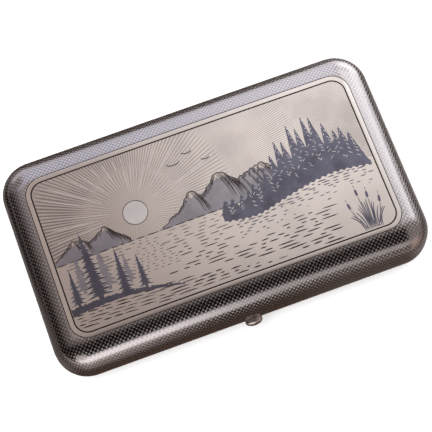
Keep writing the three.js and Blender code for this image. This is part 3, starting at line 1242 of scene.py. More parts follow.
@dataclass
class Catch:
    """The oval button, its hook and leaf spring in the base, and the keeper in the lid."""

    button: Flat = (4.9, 2.8)
    proud: float = 1.85
    dome: float = 1.3
    drop: float = 2.35
    stem: float = 0.8
    stem_head: Flat = (1.25, 0.35)
    head_dome: float = 0.6
    hole_play: float = 0.075
    bezel_in: float = -30.44
    setback: float = 0.1
    spring: Triple = (36.0, 2.4, 0.4)
    spring_slice: float = 0.82
    spring_slices: int = 19
    middle_gap: float = 0.01
    sliver: float = 0.004
    rivet: Triple = (0.4, 0.8, 0.35)
    rivet_rim: float = 0.3
    rivet_inset: float = 1.8
    rivet_rise: float = 0.6
    shank_end: float = -30.99
    hook: Flat = (5.0, 0.5)
    nib: Flat = (0.8, 0.15)
    nib_play: float = 0.1
    bite: float = 0.35
    keeper: Triple = (9.0, 0.6, 1.0)
    keeper_foot: float = 0.2
    keeper_chamfer: float = 0.25
    rounding: float = 0.06
    keeper_rounding: float = 0.07

    @property
    def z(self) -> float:
        """The height of the button's middle."""
        return CASE.seam - self.drop

    @property
    def spring_y(self) -> float:
        """The spring's face towards the bezel."""
        return self.bezel_in + self.setback

    @property
    def hook_y(self) -> float:
        """The hook's face towards the spring."""
        return self.spring_y + self.spring[2] + self.setback

    @property
    def keeper_in(self) -> float:
        """The keeper's face towards the middle of the case."""
        return -CASE.half_width + CASE.wall + CASE.seat_gap + self.keeper[1]

    @property
    def rivets(self) -> list[Flat]:
        """The (x, z) places of the left and the right rivet."""
        x = self.spring[0] / 2 - self.rivet_inset
        return [(-x, self.z + self.rivet_rise), (x, self.z + self.rivet_rise)]

    def window(self) -> Object:
        """The oval solid that opens the base's wall for the button.

        Returns:
            The solid.
        """
        cutter = bar("window", 1.0, 3.0, (0, -CASE.half_width + 0.5, 0), Axis.Y, 64)
        wide, high = (v / 2 + CASE.seat_gap for v in self.button)
        move_vertices(cutter, lambda p: p * (wide, 1, high) + (0, 0, self.z))
        return cutter

    def thumb_button(self) -> Object:
        """The button: an oval plug with a domed end, its stem and the stem's riveted head.

        Returns:
            The button.
        """
        tip = -CASE.half_width - self.proud
        back = -CASE.half_width + CASE.wall - CASE.seat_gap
        turns = np.linspace(0, math.pi / 2, 16)
        profile = [(math.sin(t), -(tip + self.dome * (1 - math.cos(t)))) for t in turns]
        profile += [(1.0, -back), (0.0, -back)]
        plug = turned("thumb_button_domed", profile, (0, 0, 0), Axis.Y, 72)
        move_vertices(plug, lambda p: p * (self.button[0] / 2, 1, self.button[1] / 2))
        foot = self.hook_y + self.hook[1] + self.setback / 2
        radius, thick = self.stem_head
        end, inner = foot + thick, -(back - self.stem)
        stem = [(0.0, inner), (self.stem, inner), (self.stem, -foot), (radius, -foot)]
        for t in np.linspace(0, math.pi / 2, 6):
            stem.append((radius * math.cos(t), -(end - thick * self.head_dome * (1 - math.sin(t)))))
        join_solid(plug, turned("stem", stem, (0, 0, 0), Axis.Y, 40))
        move_vertices(plug, lambda p: p + (0, 0, self.z))
        return plug

    def catch_hook(self) -> Object:
        """The plate on the stem, whose nib stands forward over the keeper.

        Returns:
            The hook.
        """
        foot = self.z - self.spring[1] / 2
        tip = self.keeper_in - self.bite
        nib_foot = CASE.seam + self.keeper_foot + self.keeper[2] + self.nib_play
        front, back = self.hook_y, self.hook_y + self.hook[1]
        points = [
            (front, foot),
            (back, foot),
            (back, nib_foot + self.nib[0]),
            (front, nib_foot + self.nib[0]),
            (tip, nib_foot + self.nib[1]),
            (tip, nib_foot),
            (front, nib_foot),
        ]
        hook = profile_bar("catch_hook_bent", points, -self.hook[0] / 2, self.hook[0] / 2)
        soften(hook, self.rounding)
        hole = bar("hole", self.stem + self.hole_play, 4, (0, front, self.z), Axis.Y, 40)
        cut_away(hook, [hole])
        return hook

    def keeper_bar(self) -> Object:
        """The bar soldered inside the lid's front wall.

        Returns:
            The bar.
        """
        low = CASE.seam + self.keeper_foot
        high = low + self.keeper[2]
        near, chamfer = self.keeper_in, self.keeper_chamfer
        out = near - self.keeper[1]
        points = [(out, low), (near - chamfer, low), (near, low + chamfer)]
        points += [(near, high), (out, high)]
        obj = profile_bar("catch_keeper_bar", points, -self.keeper[0] / 2, self.keeper[0] / 2)
        soften(obj, self.keeper_rounding, 30)
        return obj

    def spring_half(self, side: int, word: str, rivet: Flat) -> Object:
        """Half of the flat spring, from the stem to its round end.

        Args:
            side: 1 for the right half, -1 for the left.
            word: Which half it is, for its name.
            rivet: The (x, z) place of its rivet.

        Returns:
            The half, sliced across.
        """
        length, height, thick = self.spring
        flat = side * (length / 2 - height / 2)
        y, z = self.spring_y, self.z
        low, high = sorted((side * self.middle_gap, flat))
        half = block(
            "catch_spring_" + word,
            (low, y, z - height / 2),
            (high, y + thick, z + height / 2),
        )
        join_solid(half, bar("end", height / 2, thick, (flat, y + thick / 2, z), Axis.Y, 40))
        stem, shank = self.stem + self.hole_play, self.rivet[0] + self.hole_play
        holes = [
            bar("stem_hole", stem, 3, (0, y, z), Axis.Y, 40),
            bar("rivet_hole", shank, 3, (rivet[0], y, rivet[1]), Axis.Y, 24),
        ]
        cut_away(half, holes)
        with editing(half):
            slice_across(side * k * self.spring_slice for k in range(1, self.spring_slices + 1))
            bpy.ops.mesh.dissolve_degenerate(threshold=self.sliver * MM)
        return half

    def rivet_at(self, name: str, place: Flat) -> Object:
        """A rivet with a domed head inside the case.

        Args:
            name: The piece's name.
            place: Its (x, z) place.

        Returns:
            The rivet.
        """
        shank, head, thick = self.rivet
        end, foot = self.shank_end, self.spring_y + self.spring[2] + self.setback / 2
        profile = [(0.0, -end), (shank, -end), (shank, -foot), (head, -foot)]
        for t in np.linspace(0, math.pi / 2, 7):
            rise = self.rivet_rim + (1 - self.rivet_rim) * math.sin(t)
            profile.append((head * math.cos(t), -(foot + thick * rise)))
        return turned(name, profile, (place[0], 0, place[1]), Axis.Y, 32)

    def build(self, silver: Material, steel: Material) -> None:
        """Makes and dresses the whole catch.

        Args:
            silver: The rivets' and keeper's material.
            steel: The hook's and spring's material.
        """
        dome = (BUTTON.build(),)
        finish_piece(self.thumb_button(), Body.CATCH, Slot.PLAIN, dome, ("thumb_button",))
        finish_piece(self.catch_hook(), Body.CATCH, Slot.STEEL, (steel,), ("catch_hook",))
        finish_piece(self.keeper_bar(), Body.LID, Slot.PLAIN, (silver,), ("catch_keeper",))
        for side, word, place in zip((-1, 1), ("left", "right"), self.rivets):
            rivet = self.rivet_at(f"spring_rivet_{word}_domed", place)
            finish_piece(rivet, Body.BASE, Slot.PLAIN, (silver,), (f"spring_rivet_{word}",))
            half = self.spring_half(side, word, place)
            smooth(half)
            half.data.materials.append(steel)
            place[0] * MM
            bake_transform(half)
            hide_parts("catch_spring")


# Inside of the case


@dataclass
class Bezel:
    """The gilt strip inside the mouth of the base that the lid closes over."""

    offset: float = 1.2064
    thickness: float = 0.6
    low: float = 6.0
    high: float = 9.7
    lead: float = 0.3
    arm_end: float = 22.0
    notch_end: float = -29.0
    keeper_half: float = 5.5
    keeper_low: float = 8.35
    button_half: float = 2.8
    button_top: float = 7.65
    rivet_hole: float = 0.475
    rounding: float = 0.06
    beyond: float = 2.0

    def ring(self, name: str, offset: float, low: float, high: float, lead: float) -> Object:
        """A closed block with round corners and a chamfered top.

        Args:
            name: The piece's name.
            offset: How far its side is inside the case's outline.
            low: Its foot.
            high: Its top.
            lead: The chamfer, or 0 for none.

        Returns:
            The block.
        """
        halves = (CASE.half_length - offset, CASE.half_width - offset)
        obj = rounded_plate(name, halves, CASE.corner - offset, low)
        with editing(obj):
            extrude(0, 0, high - lead - low)
            if lead > 0:
                inset(lead, lead)
        recalculate(obj)
        return obj

    def build(self, gilt: Material, rivets: Path) -> None:
        """Makes and dresses the bezel.

        Args:
            gilt: Its material.
            rivets: The (x, z) places of its rivet holes.
        """
        obj = self.ring("base_bezel_strip", self.offset, self.low, self.high, self.lead)
        inner = self.offset + self.thickness
        under, over = self.low - self.beyond, self.high + self.beyond
        end, edge = CASE.half_length + 5, CASE.half_width + 1
        keeper, button, notch = self.keeper_half, self.button_half, self.notch_end
        cutters = [
            self.ring("inner", inner, self.low - 1, self.high + 1, 0),
            block("back", (-end, self.arm_end, under), (end, edge, over)),
            block("keeper_notch", (-keeper, -edge, self.keeper_low), (keeper, notch, over)),
            block("button_notch", (-button, -edge, under), (button, notch, self.button_top)),
        ]
        for x, z in rivets:
            middle = (x, -CASE.half_width + 1, z)
            cutters.append(bar("hole", self.rivet_hole, 4, middle, Axis.Y, 24))
        cut_away(obj, cutters)
        soften(obj, self.rounding)
        finish_piece(obj, Body.BASE, Slot.GILT, (gilt,), ("base_bezel",))


@dataclass
class Band:
    """An elastic band round the bars of its two staples, in one half of the case."""

    half: Body
    bar_z: float
    up: int
    staple_y: float = 23.45
    width: float = 9.0
    inner: float = 0.6
    outer: float = 1.05
    edge: float = 0.12
    edge_flat: float = 0.1
    ribs: int = 16
    rib: float = 0.035
    runs: int = 12
    wire: float = 0.45
    side_play: float = 0.8
    bend: float = 0.8
    leg: float = 1.05

    @property
    def middle(self) -> float:
        """How far the middle of the webbing is from the staple's own middle."""
        return (self.inner + self.outer) / 2

    def section(self) -> list[Flat]:
        """The webbing's section, as (x, depth) points round its ribbed faces and round edges.

        Returns:
            The points, in order.
        """
        half, count = self.width / 2, 2 * self.ribs
        wide = self.width - 2 * self.edge
        face = [
            (-half + self.edge + wide * k / count, self.rib * (k % 2)) for k in range(count + 1)
        ]
        high, low = self.middle + self.edge_flat, self.middle - self.edge_flat
        outer = [(x, self.outer - self.rib + r) for x, r in face]
        inner = [(x, self.inner + self.rib - r) for x, r in reversed(face)]
        return [*outer, (half, high), (half, low), *inner, (-half, low), (-half, high)]

    def webbing(self) -> Object:
        """The endless band.

        Returns:
            The band.
        """
        points = self.section()
        deselect_all()
        bpy.ops.mesh.primitive_circle_add(vertices=len(points), radius=MM)
        obj = seat(bpy.context.object, f"{self.half.value}_band_woven")
        y, z = self.staple_y, self.bar_z
        move_vertices(obj, lambda _: np.array([(x, y, z - depth) for x, depth in points]))
        turn = {"steps": 14, "angle": -math.pi, "axis": (1, 0, 0)}
        with editing(obj, "EDGE"):
            for side in (1, -1):
                bpy.ops.mesh.spin(center=(0, side * y * MM, z * MM), **turn)
                for _ in range(self.runs):
                    extrude(0, -side * 2 * y / self.runs, 0)
        recalculate(obj)
        self.lay_weave(obj)
        return obj

    def lay_weave(self, obj: Object) -> None:
        """Gives the band its UV map, in millimetres across and along it.

        Args:
            obj: The band.
        """
        mesh = obj.data
        points = np.array([v.co for v in mesh.vertices]) / MM
        end, middle = self.staple_y, self.middle
        y, z = points[:, 1], points[:, 2] - self.bar_z
        around = np.arctan2(np.abs(y) - end, -z)
        straight = np.clip(y, -end, end)
        arc = math.pi * middle
        whole = 4 * end + 2 * arc
        under = np.where(straight >= 0, straight, whole + straight)
        along = np.where(z < 0, under, end + arc + (end - straight))
        along = np.where(y > end, end + middle * around, along)
        along = np.where(y < -end, 3 * end + arc + middle * (math.pi - around), along)
        layer = mesh.uv_layers.new(name="weave")
        for face in mesh.polygons:
            loops = range(face.loop_start, face.loop_start + face.loop_total)
            values = [along[mesh.loops[k].vertex_index] for k in loops]
            wraps = max(values) - min(values) > whole / 2
            for k, value in zip(loops, values):
                shifted = value + whole if wraps and value < whole / 2 else value
                layer.uv[k].vector = (points[mesh.loops[k].vertex_index, 0], shifted)

    def staple(self, name: str, y: float) -> Object:
        """A staple of round wire with a leg at each end.

        Args:
            name: The piece's name.
            y: Where its bar lies.

        Returns:
            The staple.
        """
        half = self.width / 2 + self.side_play
        foot = self.bar_z - self.up * self.leg
        rise = self.up * (self.leg - self.bend)
        turn = {"steps": 8, "angle": -self.up * math.pi / 2, "axis": (0, 1, 0)}
        deselect_all()
        bpy.ops.mesh.primitive_circle_add(
            vertices=20,
            radius=self.wire * MM,
            fill_type="NGON",
            location=(-half * MM, y * MM, foot * MM),
        )
        obj = seat(bpy.context.object, name)
        run = half - self.bend
        with editing(obj):
            extrude(0, 0, rise)
            bpy.ops.mesh.spin(center=(-run * MM, y * MM, (foot + rise) * MM), **turn)
            extrude(2 * run, 0, 0)
            bpy.ops.mesh.spin(center=(run * MM, y * MM, (foot + rise) * MM), **turn)
            extrude(0, 0, -rise)
        recalculate(obj)
        return obj

    def build(self, elastic: Material, gilt: Material) -> None:
        """Makes and dresses the band and its staples.

        Args:
            elastic: The webbing's material.
            gilt: The wire's material.
        """
        word = self.half.value
        webbing = self.webbing()
        finish_piece(webbing, self.half, Slot.ELASTIC, (elastic,), (f"{word}_band",), 60)
        for place, y in (("front", -self.staple_y), ("rear", self.staple_y)):
            node = f"{word}_staple_{place}"
            wire = self.staple(node + "_wire", y)
            finish_piece(wire, self.half, Slot.GILT, (gilt,), (node,), 50)


# Picture on the lid


def ribbon(points: Path, width: float, taper: float, seed: float = 0.0) -> list[Flat]:
    """A stroke along a path, as a closed outline.

    Args:
        points: The path.
        width: The stroke's widest width.
        taper: How much it thins towards its ends, from 0 to 1.
        seed: Shifts its slight unevenness.

    Returns:
        The outline.
    """
    left, right = [], []
    last = len(points) - 1
    for k, (x, y) in enumerate(points):
        before, after = points[max(k - 1, 0)], points[min(k + 1, last)]
        dx, dy = after[0] - before[0], after[1] - before[1]
        length = math.hypot(dx, dy) or 1.0
        share = k / last
        swell = 1 - taper * abs(2 * share - 1) ** 2
        half = max(width * swell * (1 + 0.12 * math.sin(9 * share + seed)) / 2, width * 0.06)
        left.append((x - dy / length * half, y + dx / length * half))
        right.append((x + dy / length * half, y - dx / length * half))
    return left + right[::-1]


def stroke(
    start: Flat,
    end: Flat,
    width: float,
    taper: float = 0.8,
    steps: int = 4,
    bow: float = 0.0,
    seed: float = 0.0,
) -> list[Flat]:
    """A stroke from one point to another, as a closed outline.

    Args:
        start: Where it starts.
        end: Where it ends.
        width: Its widest width.
        taper: How much it thins towards its ends, from 0 to 1.
        steps: How many straight parts its path has.
        bow: How far it is bowed sideways, as a share of its length.
        seed: Shifts its slight unevenness.

    Returns:
        The outline.
    """
    dx, dy = end[0] - start[0], end[1] - start[1]
    points = []
    for k in range(steps + 1):
        t = k / steps
        lift = 4 * bow * t * (1 - t)
        points.append((start[0] + dx * t - dy * lift, start[1] + dy * t + dx * lift))
    return ribbon(points, width, taper, seed)


def hump(x: float, middle: float, width: float) -> float:
    """A smooth hump of height 1 at its middle."""
    return math.exp(-(((x - middle) / width) ** 2))


@dataclass(frozen=True)
class Fir:
    """One fir of the picture, with drooping boughs."""

    x: float
    foot: float
    height: float
    tiers: int
    lean: float
    seed: int

    @property
    def rise(self) -> float:
        """The height of one tier."""
        return self.height * 0.86 / self.tiers

    def boughs(self) -> list[tuple[float, float, float, float]]:
        """The middle, height, reach to the left and reach to the right of each tier.

        Returns:
            The four values of each.
        """
        dice = random.Random(self.seed)
        found = []
        for k in range(self.tiers):
            share = k / self.tiers
            y = self.foot + self.height * (0.09 + 0.86 * share)
            middle = self.x + self.lean * (y - self.foot) / self.height
            reach = self.height * 0.2 * (1 - share) ** 0.9
            left, right = (reach * dice.uniform(0.84, 1.08) for _ in range(2))
            found.append((middle, y, left, right))
        return found

    def outline(self) -> list[Flat]:
        """The whole tree's outline.

        Returns:
            The outline.
        """
        sides: dict[int, list[Flat]] = {-1: [], 1: []}
        trunk = self.height * 0.035
        for side, path in sides.items():
            path.append((self.x + side * trunk, self.foot))
            path.append((self.x + side * trunk, self.foot + self.height * 0.09))
            for middle, y, left, right in self.boughs():
                reach = left if side < 0 else right
                for out, up in ((1.0, -0.14), (0.70, 0.24), (0.28, 0.80)):
                    path.append((middle + side * reach * out, y + self.rise * up))
        return [*sides[-1], (self.x + self.lean, self.foot + self.height), *reversed(sides[1])]

    def lights(self) -> Strokes:
        """Bright cuts along the boughs.

        Yields:
            Each cut's outline.
        """
        for middle, y, left, right in self.boughs()[:-1]:
            for side, reach, width in ((-1, left, 0.13), (1, right, 0.2)):
                start = (middle + side * reach * 0.36, y + self.rise * 0.30)
                end = (middle + side * reach * 0.86, y - self.rise * 0.02)
                yield stroke(start, end, width, bow=side * 0.12)


NEAR_FIRS = (
    Fir(-37.6, -16.2, 21.5, 12, -0.4, 3),
    Fir(-30.4, -17.0, 14.5, 9, 0.3, 4),
    Fir(-43.9, -15.6, 11.5, 8, 0.1, 5),
    Fir(-24.9, -16.6, 10.5, 7, -0.1, 6),
)
REAR_FIRS = (
    Fir(-41.3, -12.4, 12.5, 8, 0.2, 7),
    Fir(-34.5, -13.6, 14.5, 9, -0.2, 8),
    Fir(-28.4, -13.8, 9.5, 7, 0.1, 9),
)


@dataclass
class LidPicture:
    """A landscape let into the lid: sun, far hills, a lake, fir woods and a bank.

    Every shape is cut from thin sheet and laid on the face inside the frame. Places are
    millimetres from the middle of the lid.
    """

    top: float = 16.8
    half_panel: Flat = (46.6, 22.7)
    sheet: float = 0.03
    sun_radius: float = 3.4
    ray_ends: Flat = (45.5, 21.8)
    ray_count: int = 20
    ray_pitch: float = 9.8
    ripple_rows: int = 20
    glitter_rows: int = 12
    mirror_rows: int = 7
    knoll_rows: int = 8
    knoll_points: int = 70
    wood_points: int = 271
    wood_ends: Flat = (1.4, 45.8)
    reed_count: int = 13
    ridge_step: float = 0.7
    far_tops: Path = ((-40, 3.2), (-35, 1.2), (-30.5, 4.6), (-27, 0.6))
    near_tops: Path = ((-10, 0.6), (-5, 5.5), (-1.5, 3.2), (4, 8.6), (9, 4.5), (17, 7.0))
    reed_foot: float = -22.4
    seed: int = 11
    dice: random.Random = field(init=False)

    def __post_init__(self) -> None:
        """Starts the seeded dice."""
        self.dice = random.Random(self.seed)

    def sheet_of(self, name: str, outlines: Sequence[Path]) -> Object:
        """A flat mesh that fills closed outlines which do not overlap, kept within the panel.

        Args:
            name: The object's name.
            outlines: The outlines.

        Returns:
            The mesh.
        """
        wide, high = self.half_panel
        curve = bpy.data.curves.new(name, "CURVE")
        curve.dimensions = "2D"
        curve.fill_mode = "BOTH"
        for outline in outlines:
            spline = curve.splines.new("POLY")
            spline.points.add(len(outline) - 1)
            for point, (x, y) in zip(spline.points, outline):
                x, y = max(-wide, min(wide, x)), max(-high, min(high, y))
                point.co = (x * MM, y * MM, 0, 1)
            spline.use_cyclic_u = True
        obj = bpy.data.objects.new(name, curve)
        bpy.context.scene.collection.objects.link(obj)
        activate(obj)
        bpy.ops.object.convert(target="MESH")
        return bpy.context.object

    def inlay(
        self,
        name: str,
        lift: float,
        material: Material,
        outlines: Iterable[Path],
        batches: int = 1,
    ) -> None:
        """Cuts outlines from sheet and lays them on the lid.

        Args:
            name: The piece's name.
            lift: How far their upper face is above the lid's.
            material: Their material.
            outlines: Closed outlines.
            batches: How many batches they are cut in, so that neighbours may overlap.
        """
        outlines = list(outlines)
        obj = self.sheet_of(name, outlines[::batches])
        for k in range(1, batches):
            other = self.sheet_of(name + "_part", outlines[k::batches])
            activate(obj)
            other.select_set(True)
            bpy.ops.object.join()
        with editing(obj):
            slice_across(CASE.slices())
            bpy.ops.mesh.normals_make_consistent(inside=False)
            pick_faces(obj, lambda middle, normal: normal.z < 0)
            bpy.ops.mesh.flip_normals()
        move_vertices(obj, lambda points: self.on_lid(points, lift))
        apply_modifier(obj, "SOLIDIFY", thickness=self.sheet * MM, offset=-1)
        finish_piece(obj, Body.LID, Slot.CASE, (material,), angle=None)

    def on_lid(self, points: np.ndarray, lift: float) -> np.ndarray:
        """Raises flat points to the lid's crowned face, which is straight between its slices.

        Args:
            points: The points, one row each.
            lift: How far above the face they lie.

        Returns:
            The points, raised.
        """
        step, half = CASE.slice_length, CASE.half_length
        low = np.floor((points[:, 0] + half) / step) * step - half
        share = (points[:, 0] - low) / step
        crown = [CASE.crown * (1 - (edge / half) ** 2) for edge in (low, low + step)]
        points[:, 2] = self.top + crown[0] * (1 - share) + crown[1] * share + lift
        return points

    def broken(
        self, x: float, end: float, reach: Flat, gap: Flat, shrink: float = 1.0
    ) -> Iterator[Flat]:
        """Splits a line into strokes of random length.

        Args:
            x: Where the line starts.
            end: Where its last stroke starts at the latest.
            reach: The least and the greatest length of a stroke.
            gap: The least and the greatest gap.
            shrink: How much shorter the strokes are.

        Yields:
            Each stroke's start and length.
        """
        while x < end:
            length = self.dice.uniform(*reach) * shrink
            yield x, length
            x += length + self.dice.uniform(*gap)

    def round_sun(self, radius: float, turns: np.ndarray) -> list[Flat]:
        """Points round the sun."""
        x, y = CASE.sun
        return [(x + radius * math.cos(t), y + radius * math.sin(t)) for t in turns]

    def sun_disc(self) -> Strokes:
        """The sun, low over the shore."""
        turns = np.linspace(0, 2 * math.pi, 48, endpoint=False)
        yield self.round_sun(self.sun_radius, turns)

    def sun_ring(self) -> Strokes:
        """A dark line round the sun, in two halves.

        Yields:
            Each half's outline.
        """
        path = self.round_sun(self.sun_radius + 0.12, np.linspace(0, 2 * math.pi, 49))
        for part in (path[:25], path[24:]):
            yield ribbon(part, 0.2, 0.3)

    def rays(self) -> Strokes:
        """Long bright rays of uneven length round the sun.

        Yields:
            Each stroke's outline.
        """
        for k in range(self.ray_count):
            turn = math.radians(-4 + k * self.ray_pitch + self.dice.uniform(-3.0, 3.0))
            dx, dy = math.cos(turn), math.sin(turn)
            near = self.dice.uniform(5.5, 9) if k % 2 else self.dice.uniform(9, 15)
            far = near + self.dice.uniform(8, 26)
            if abs(dx) > 0.01:
                far = min(far, (self.ray_ends[0] * math.copysign(1, dx) - CASE.sun[0]) / dx)
            if dy > 0.01:
                far = min(far, (self.ray_ends[1] - CASE.sun[1]) / dy)
            if far - near > 3:
                ends = [(CASE.sun[0] + r * dx, CASE.sun[1] + r * dy) for r in (near, far)]
                yield stroke(*ends, self.dice.uniform(0.17, 0.28), 0.9)

    def ridge(self, start: float, end: float, base: float, tops: Path, rough: float) -> list[Flat]:
        """A jagged skyline through peaks.

        Args:
            start: Its lower X.
            end: Its higher X.
            base: Its height at its ends.
            tops: The (x, y) peaks.
            rough: How jagged it is.

        Returns:
            The skyline's points.
        """
        places, heights = zip((start, base), *tops, (end, base))
        steps = round((end - start) / self.ridge_step)
        points = []
        for k in range(steps + 1):
            x = start + (end - start) * k / steps
            y = float(np.interp(x, places, heights))
            points.append((x, y + self.dice.uniform(-rough, rough) * (0 < k < steps)))
        return points

    def down_to_shore(self, skyline: Path) -> list[Flat]:
        """The hills under a skyline."""
        return [*skyline, (skyline[-1][0], CASE.shore), (skyline[0][0], CASE.shore)]

    def hatching(self, skyline: Path) -> Strokes:
        """Strokes down the shaded side of each slope.

        Args:
            skyline: The skyline's points.

        Yields:
            Each stroke's outline.
        """
        for (x, y), (nx, ny) in zip(skyline, skyline[1:]):
            fall = y - CASE.shore
            if fall < 1.2:
                continue
            lean, span = (0.35, (0.55, 0.9)) if ny < y + 0.1 else (-0.3, (0.12, 0.3))
            for part in (0.0, 0.5):
                sx, sy = x + (nx - x) * part, y + (ny - y) * part
                reach = fall * self.dice.uniform(*span)
                end = (sx + reach * lean, sy - reach)
                yield stroke((sx, sy - 0.15), end, 0.2, 0.6, 3, 0.05)

    def caps(self, skyline: Path, reach: float) -> Strokes:
        """Snow on the peaks of a skyline.

        Args:
            skyline: The skyline's points.
            reach: How far the snow comes down beside a peak.

        Yields:
            Each cap's outline.
        """
        wide = round(reach / self.ridge_step)
        for k in range(wide, len(skyline) - wide):
            near, peak = skyline[k - wide : k + wide + 1], skyline[k][1]
            if peak < max(y for _, y in near) or peak < CASE.shore + 3.5:
                continue
            hem = []
            for step, (x, y) in enumerate(reversed(near[1:-1])):
                hem.append((x, min(y, peak - reach * 0.45) - (0.9 if step % 2 else 0.25)))
            yield [*near, *hem]

    def far_shore(self) -> Strokes:
        """The far shore, a broken dark line.

        Yields:
            Each stroke's outline.
        """
        for x, reach in self.broken(-46.5, 6, (1.5, 5.0), (0.2, 0.7)):
            ends = ((x, CASE.shore + 0.02), (min(x + reach, 8), CASE.shore - 0.03))
            yield stroke(*ends, 0.3, 0.6, seed=x)

    def bank(self, x: float) -> float:
        """The height of the bank that the wood stands on."""
        return -5.0 + 2.6 * hump(x, 35, 13) - 1.8 * hump(x, 10, 8)

    def wood_trees(self) -> list[Flat]:
        """The place and height of each tree of the wood.

        Returns:
            Each tree's X and height.
        """
        trees = []
        x = 3.4
        while x < 43.6:
            trees.append((x, 5.0 + 13.5 * hump(x, 29, 14.5) * self.dice.uniform(0.78, 1.08)))
            x += self.dice.uniform(1.8, 3.0)
        return trees

    def wood(self, trees: Path) -> list[Flat]:
        """The wood on the bank, as one outline under its tree tops.

        Args:
            trees: The place and height of each tree.

        Returns:
            The outline.
        """
        skyline = []
        for at in np.linspace(*self.wood_ends, self.wood_points).tolist():
            best = 0.5
            for tree_x, tall in trees:
                away = abs(at - tree_x)
                tier = 0.75 * ((away * 1.9) % 1.0)
                best = max(best, tall - away * tall / 2.7 + tier - 0.4)
            skyline.append((at, self.bank(at) + best))
        floor = [
            (x, self.bank(x) - 0.7 - 0.5 * math.sin(x * 1.7) ** 2) for x, _ in reversed(skyline)
        ]
        return skyline + floor

    def wood_lights(self, trees: Path) -> Strokes:
        """Bright cuts on the boughs of the wood, tree by tree.

        Args:
            trees: The place and height of each tree.

        Yields:
            Each cut's outline.
        """
        for x, tall in trees:
            foot = self.bank(x)
            y = foot + tall - 1.5
            while y > foot + max(0.6, tall * 0.22):
                wide = min((foot + tall - y) * 2.7 / tall, 1.3)
                side = self.dice.choice((-1, 1, 1))
                start = (x + side * wide * self.dice.uniform(-0.1, 0.35), y)
                end_x = x + side * wide * self.dice.uniform(0.7, 1.0)
                end = (end_x, y - self.dice.uniform(0.5, 0.95))
                width = self.dice.uniform(0.13, 0.24)
                yield stroke(start, end, width, steps=3, bow=side * 0.06)
                y -= self.dice.uniform(0.7, 1.5)

    def mirrored_wood(self) -> Strokes:
        """The wood's dark likeness in the water under the bank, in broken strokes.

        Yields:
            Each stroke's outline.
        """
        for row in range(self.mirror_rows):
            gap = (0.25, 0.9 + row * 0.25)
            start, shrink = 4.0 + self.dice.uniform(0, 1), 1.15 - row * 0.11
            for x, reach in self.broken(start, 44, (0.8, 2.6), gap, shrink):
                y = self.bank(x) - (1.6 + row * 0.8)
                if self.dice.random() < 1.0 - row * 0.11 and y > -13:
                    ends = ((x, y), (min(x + reach, 46), y))
                    yield stroke(*ends, 0.36 - row * 0.02, seed=x)

    def ripples(self) -> Strokes:
        """Dark broken lines across the lake and the near ground.

        Yields:
            Each stroke's outline.
        """
        for row in range(self.ripple_rows):
            y = CASE.shore - 0.9 - row * 0.98
            start, longest = -45.5 + self.dice.uniform(0, 4), 3.0 + row * 0.22
            for x, reach in self.broken(start, 45, (1.0, longest), (0.7, 3.2)):
                end = x + reach
                kept_clear = (
                    y > self.bank(end) - 7.6 and 4.0 < end,
                    x < -20 + max(0.0, -15 - y) * 6 and y < -8.5,
                    abs(x + reach / 2 - CASE.sun[0]) < 3.2 + row * 0.6 and y > -13,
                    end > 32.5 and y < -10.0,
                    self.dice.random() < 0.08,
                )
                if not any(kept_clear) and end < 45.8:
                    close = (end, y + self.dice.uniform(-0.12, 0.12))
                    yield stroke((x, y), close, 0.18 + 0.015 * row)

    def glitter(self) -> Strokes:
        """The sun's broken path on the water.

        Yields:
            Each stroke's outline.
        """
        for row in range(self.glitter_rows):
            y = CASE.shore - 0.7 - row * 0.85
            wide = 1.8 + row * 0.5
            start, end = CASE.sun[0] - wide, CASE.sun[0] + wide
            for x, reach in self.broken(start, end, (0.5, 1.5), (0.5, 1.7)):
                yield stroke((x, y), (x + reach, y), 0.17)

    def birds(self) -> Strokes:
        """Three birds over the lake.

        Yields:
            Each stroke's outline.
        """
        for x, y, size in ((-6.5, 14.5, 1.9), (-1.8, 16.6, 1.5), (2.6, 13.2, 1.2)):
            for side, rise in ((-1, 0.35), (1, 0.30)):
                tip = (x + side * size, y + size * rise)
                yield stroke((x, y), tip, 0.3, 0.5, 5, -side * 0.16)

    def knoll(self) -> Strokes:
        """Dark strokes that round the knoll and run out over the near ground.

        Yields:
            Each stroke's outline.
        """
        for row in range(self.knoll_rows):
            y0 = -15.6 - row * 0.92
            x = -46.3 + self.dice.uniform(0, 1.2)
            while x < -12 + row * 6.5:
                reach = self.dice.uniform(1.6, 6.5) * (1.0 if x < -10 else 0.6)
                y = y0 - 0.006 * (min(x, -20) + 40) ** 2
                end = (x + reach, y - 0.05 * reach * (x < -22))
                width = self.dice.uniform(0.2, 0.42)
                if end[1] > -22.2:
                    yield stroke((x, y), end, width, steps=5, bow=0.02, seed=x)
                x += reach + self.dice.uniform(0.2, 1.3) + max(0.0, (x + 15) * 0.06)

    def knoll_edge(self) -> Strokes:
        """The knoll's dark shape under the firs.

        Yields:
            Its one outline.
        """
        top, under = [], []
        for k in range(self.knoll_points):
            x = -self.half_panel[0] + 0.46 * k
            y = -15.2 - 0.006 * (x + 40) ** 2
            share = 1 - k / (self.knoll_points - 1)
            top.append((x, y + self.dice.uniform(-0.25, 0.35)))
            under.append((x, y - 0.35 - 1.9 * share + self.dice.uniform(-0.25, 0.25) * share))
        yield top + under[::-1]

    def reeds(self) -> Strokes:
        """Tall reeds at the lower right, fanned out.

        Yields:
            Each stroke's outline.
        """
        middle = self.reed_count // 2
        for k in range(self.reed_count):
            x, fan = 37.0 + 0.42 * k, k - middle
            tall = 4.6 + 4.6 * hump(k, middle, 3.6) * self.dice.uniform(0.75, 1.1)
            lean = fan * 0.42 + self.dice.uniform(-0.3, 0.3)
            foot, tip = (x, self.reed_foot), (x + lean, self.reed_foot + tall)
            yield stroke(foot, tip, 0.36, 0.55, 6, 0.02 * fan, k)

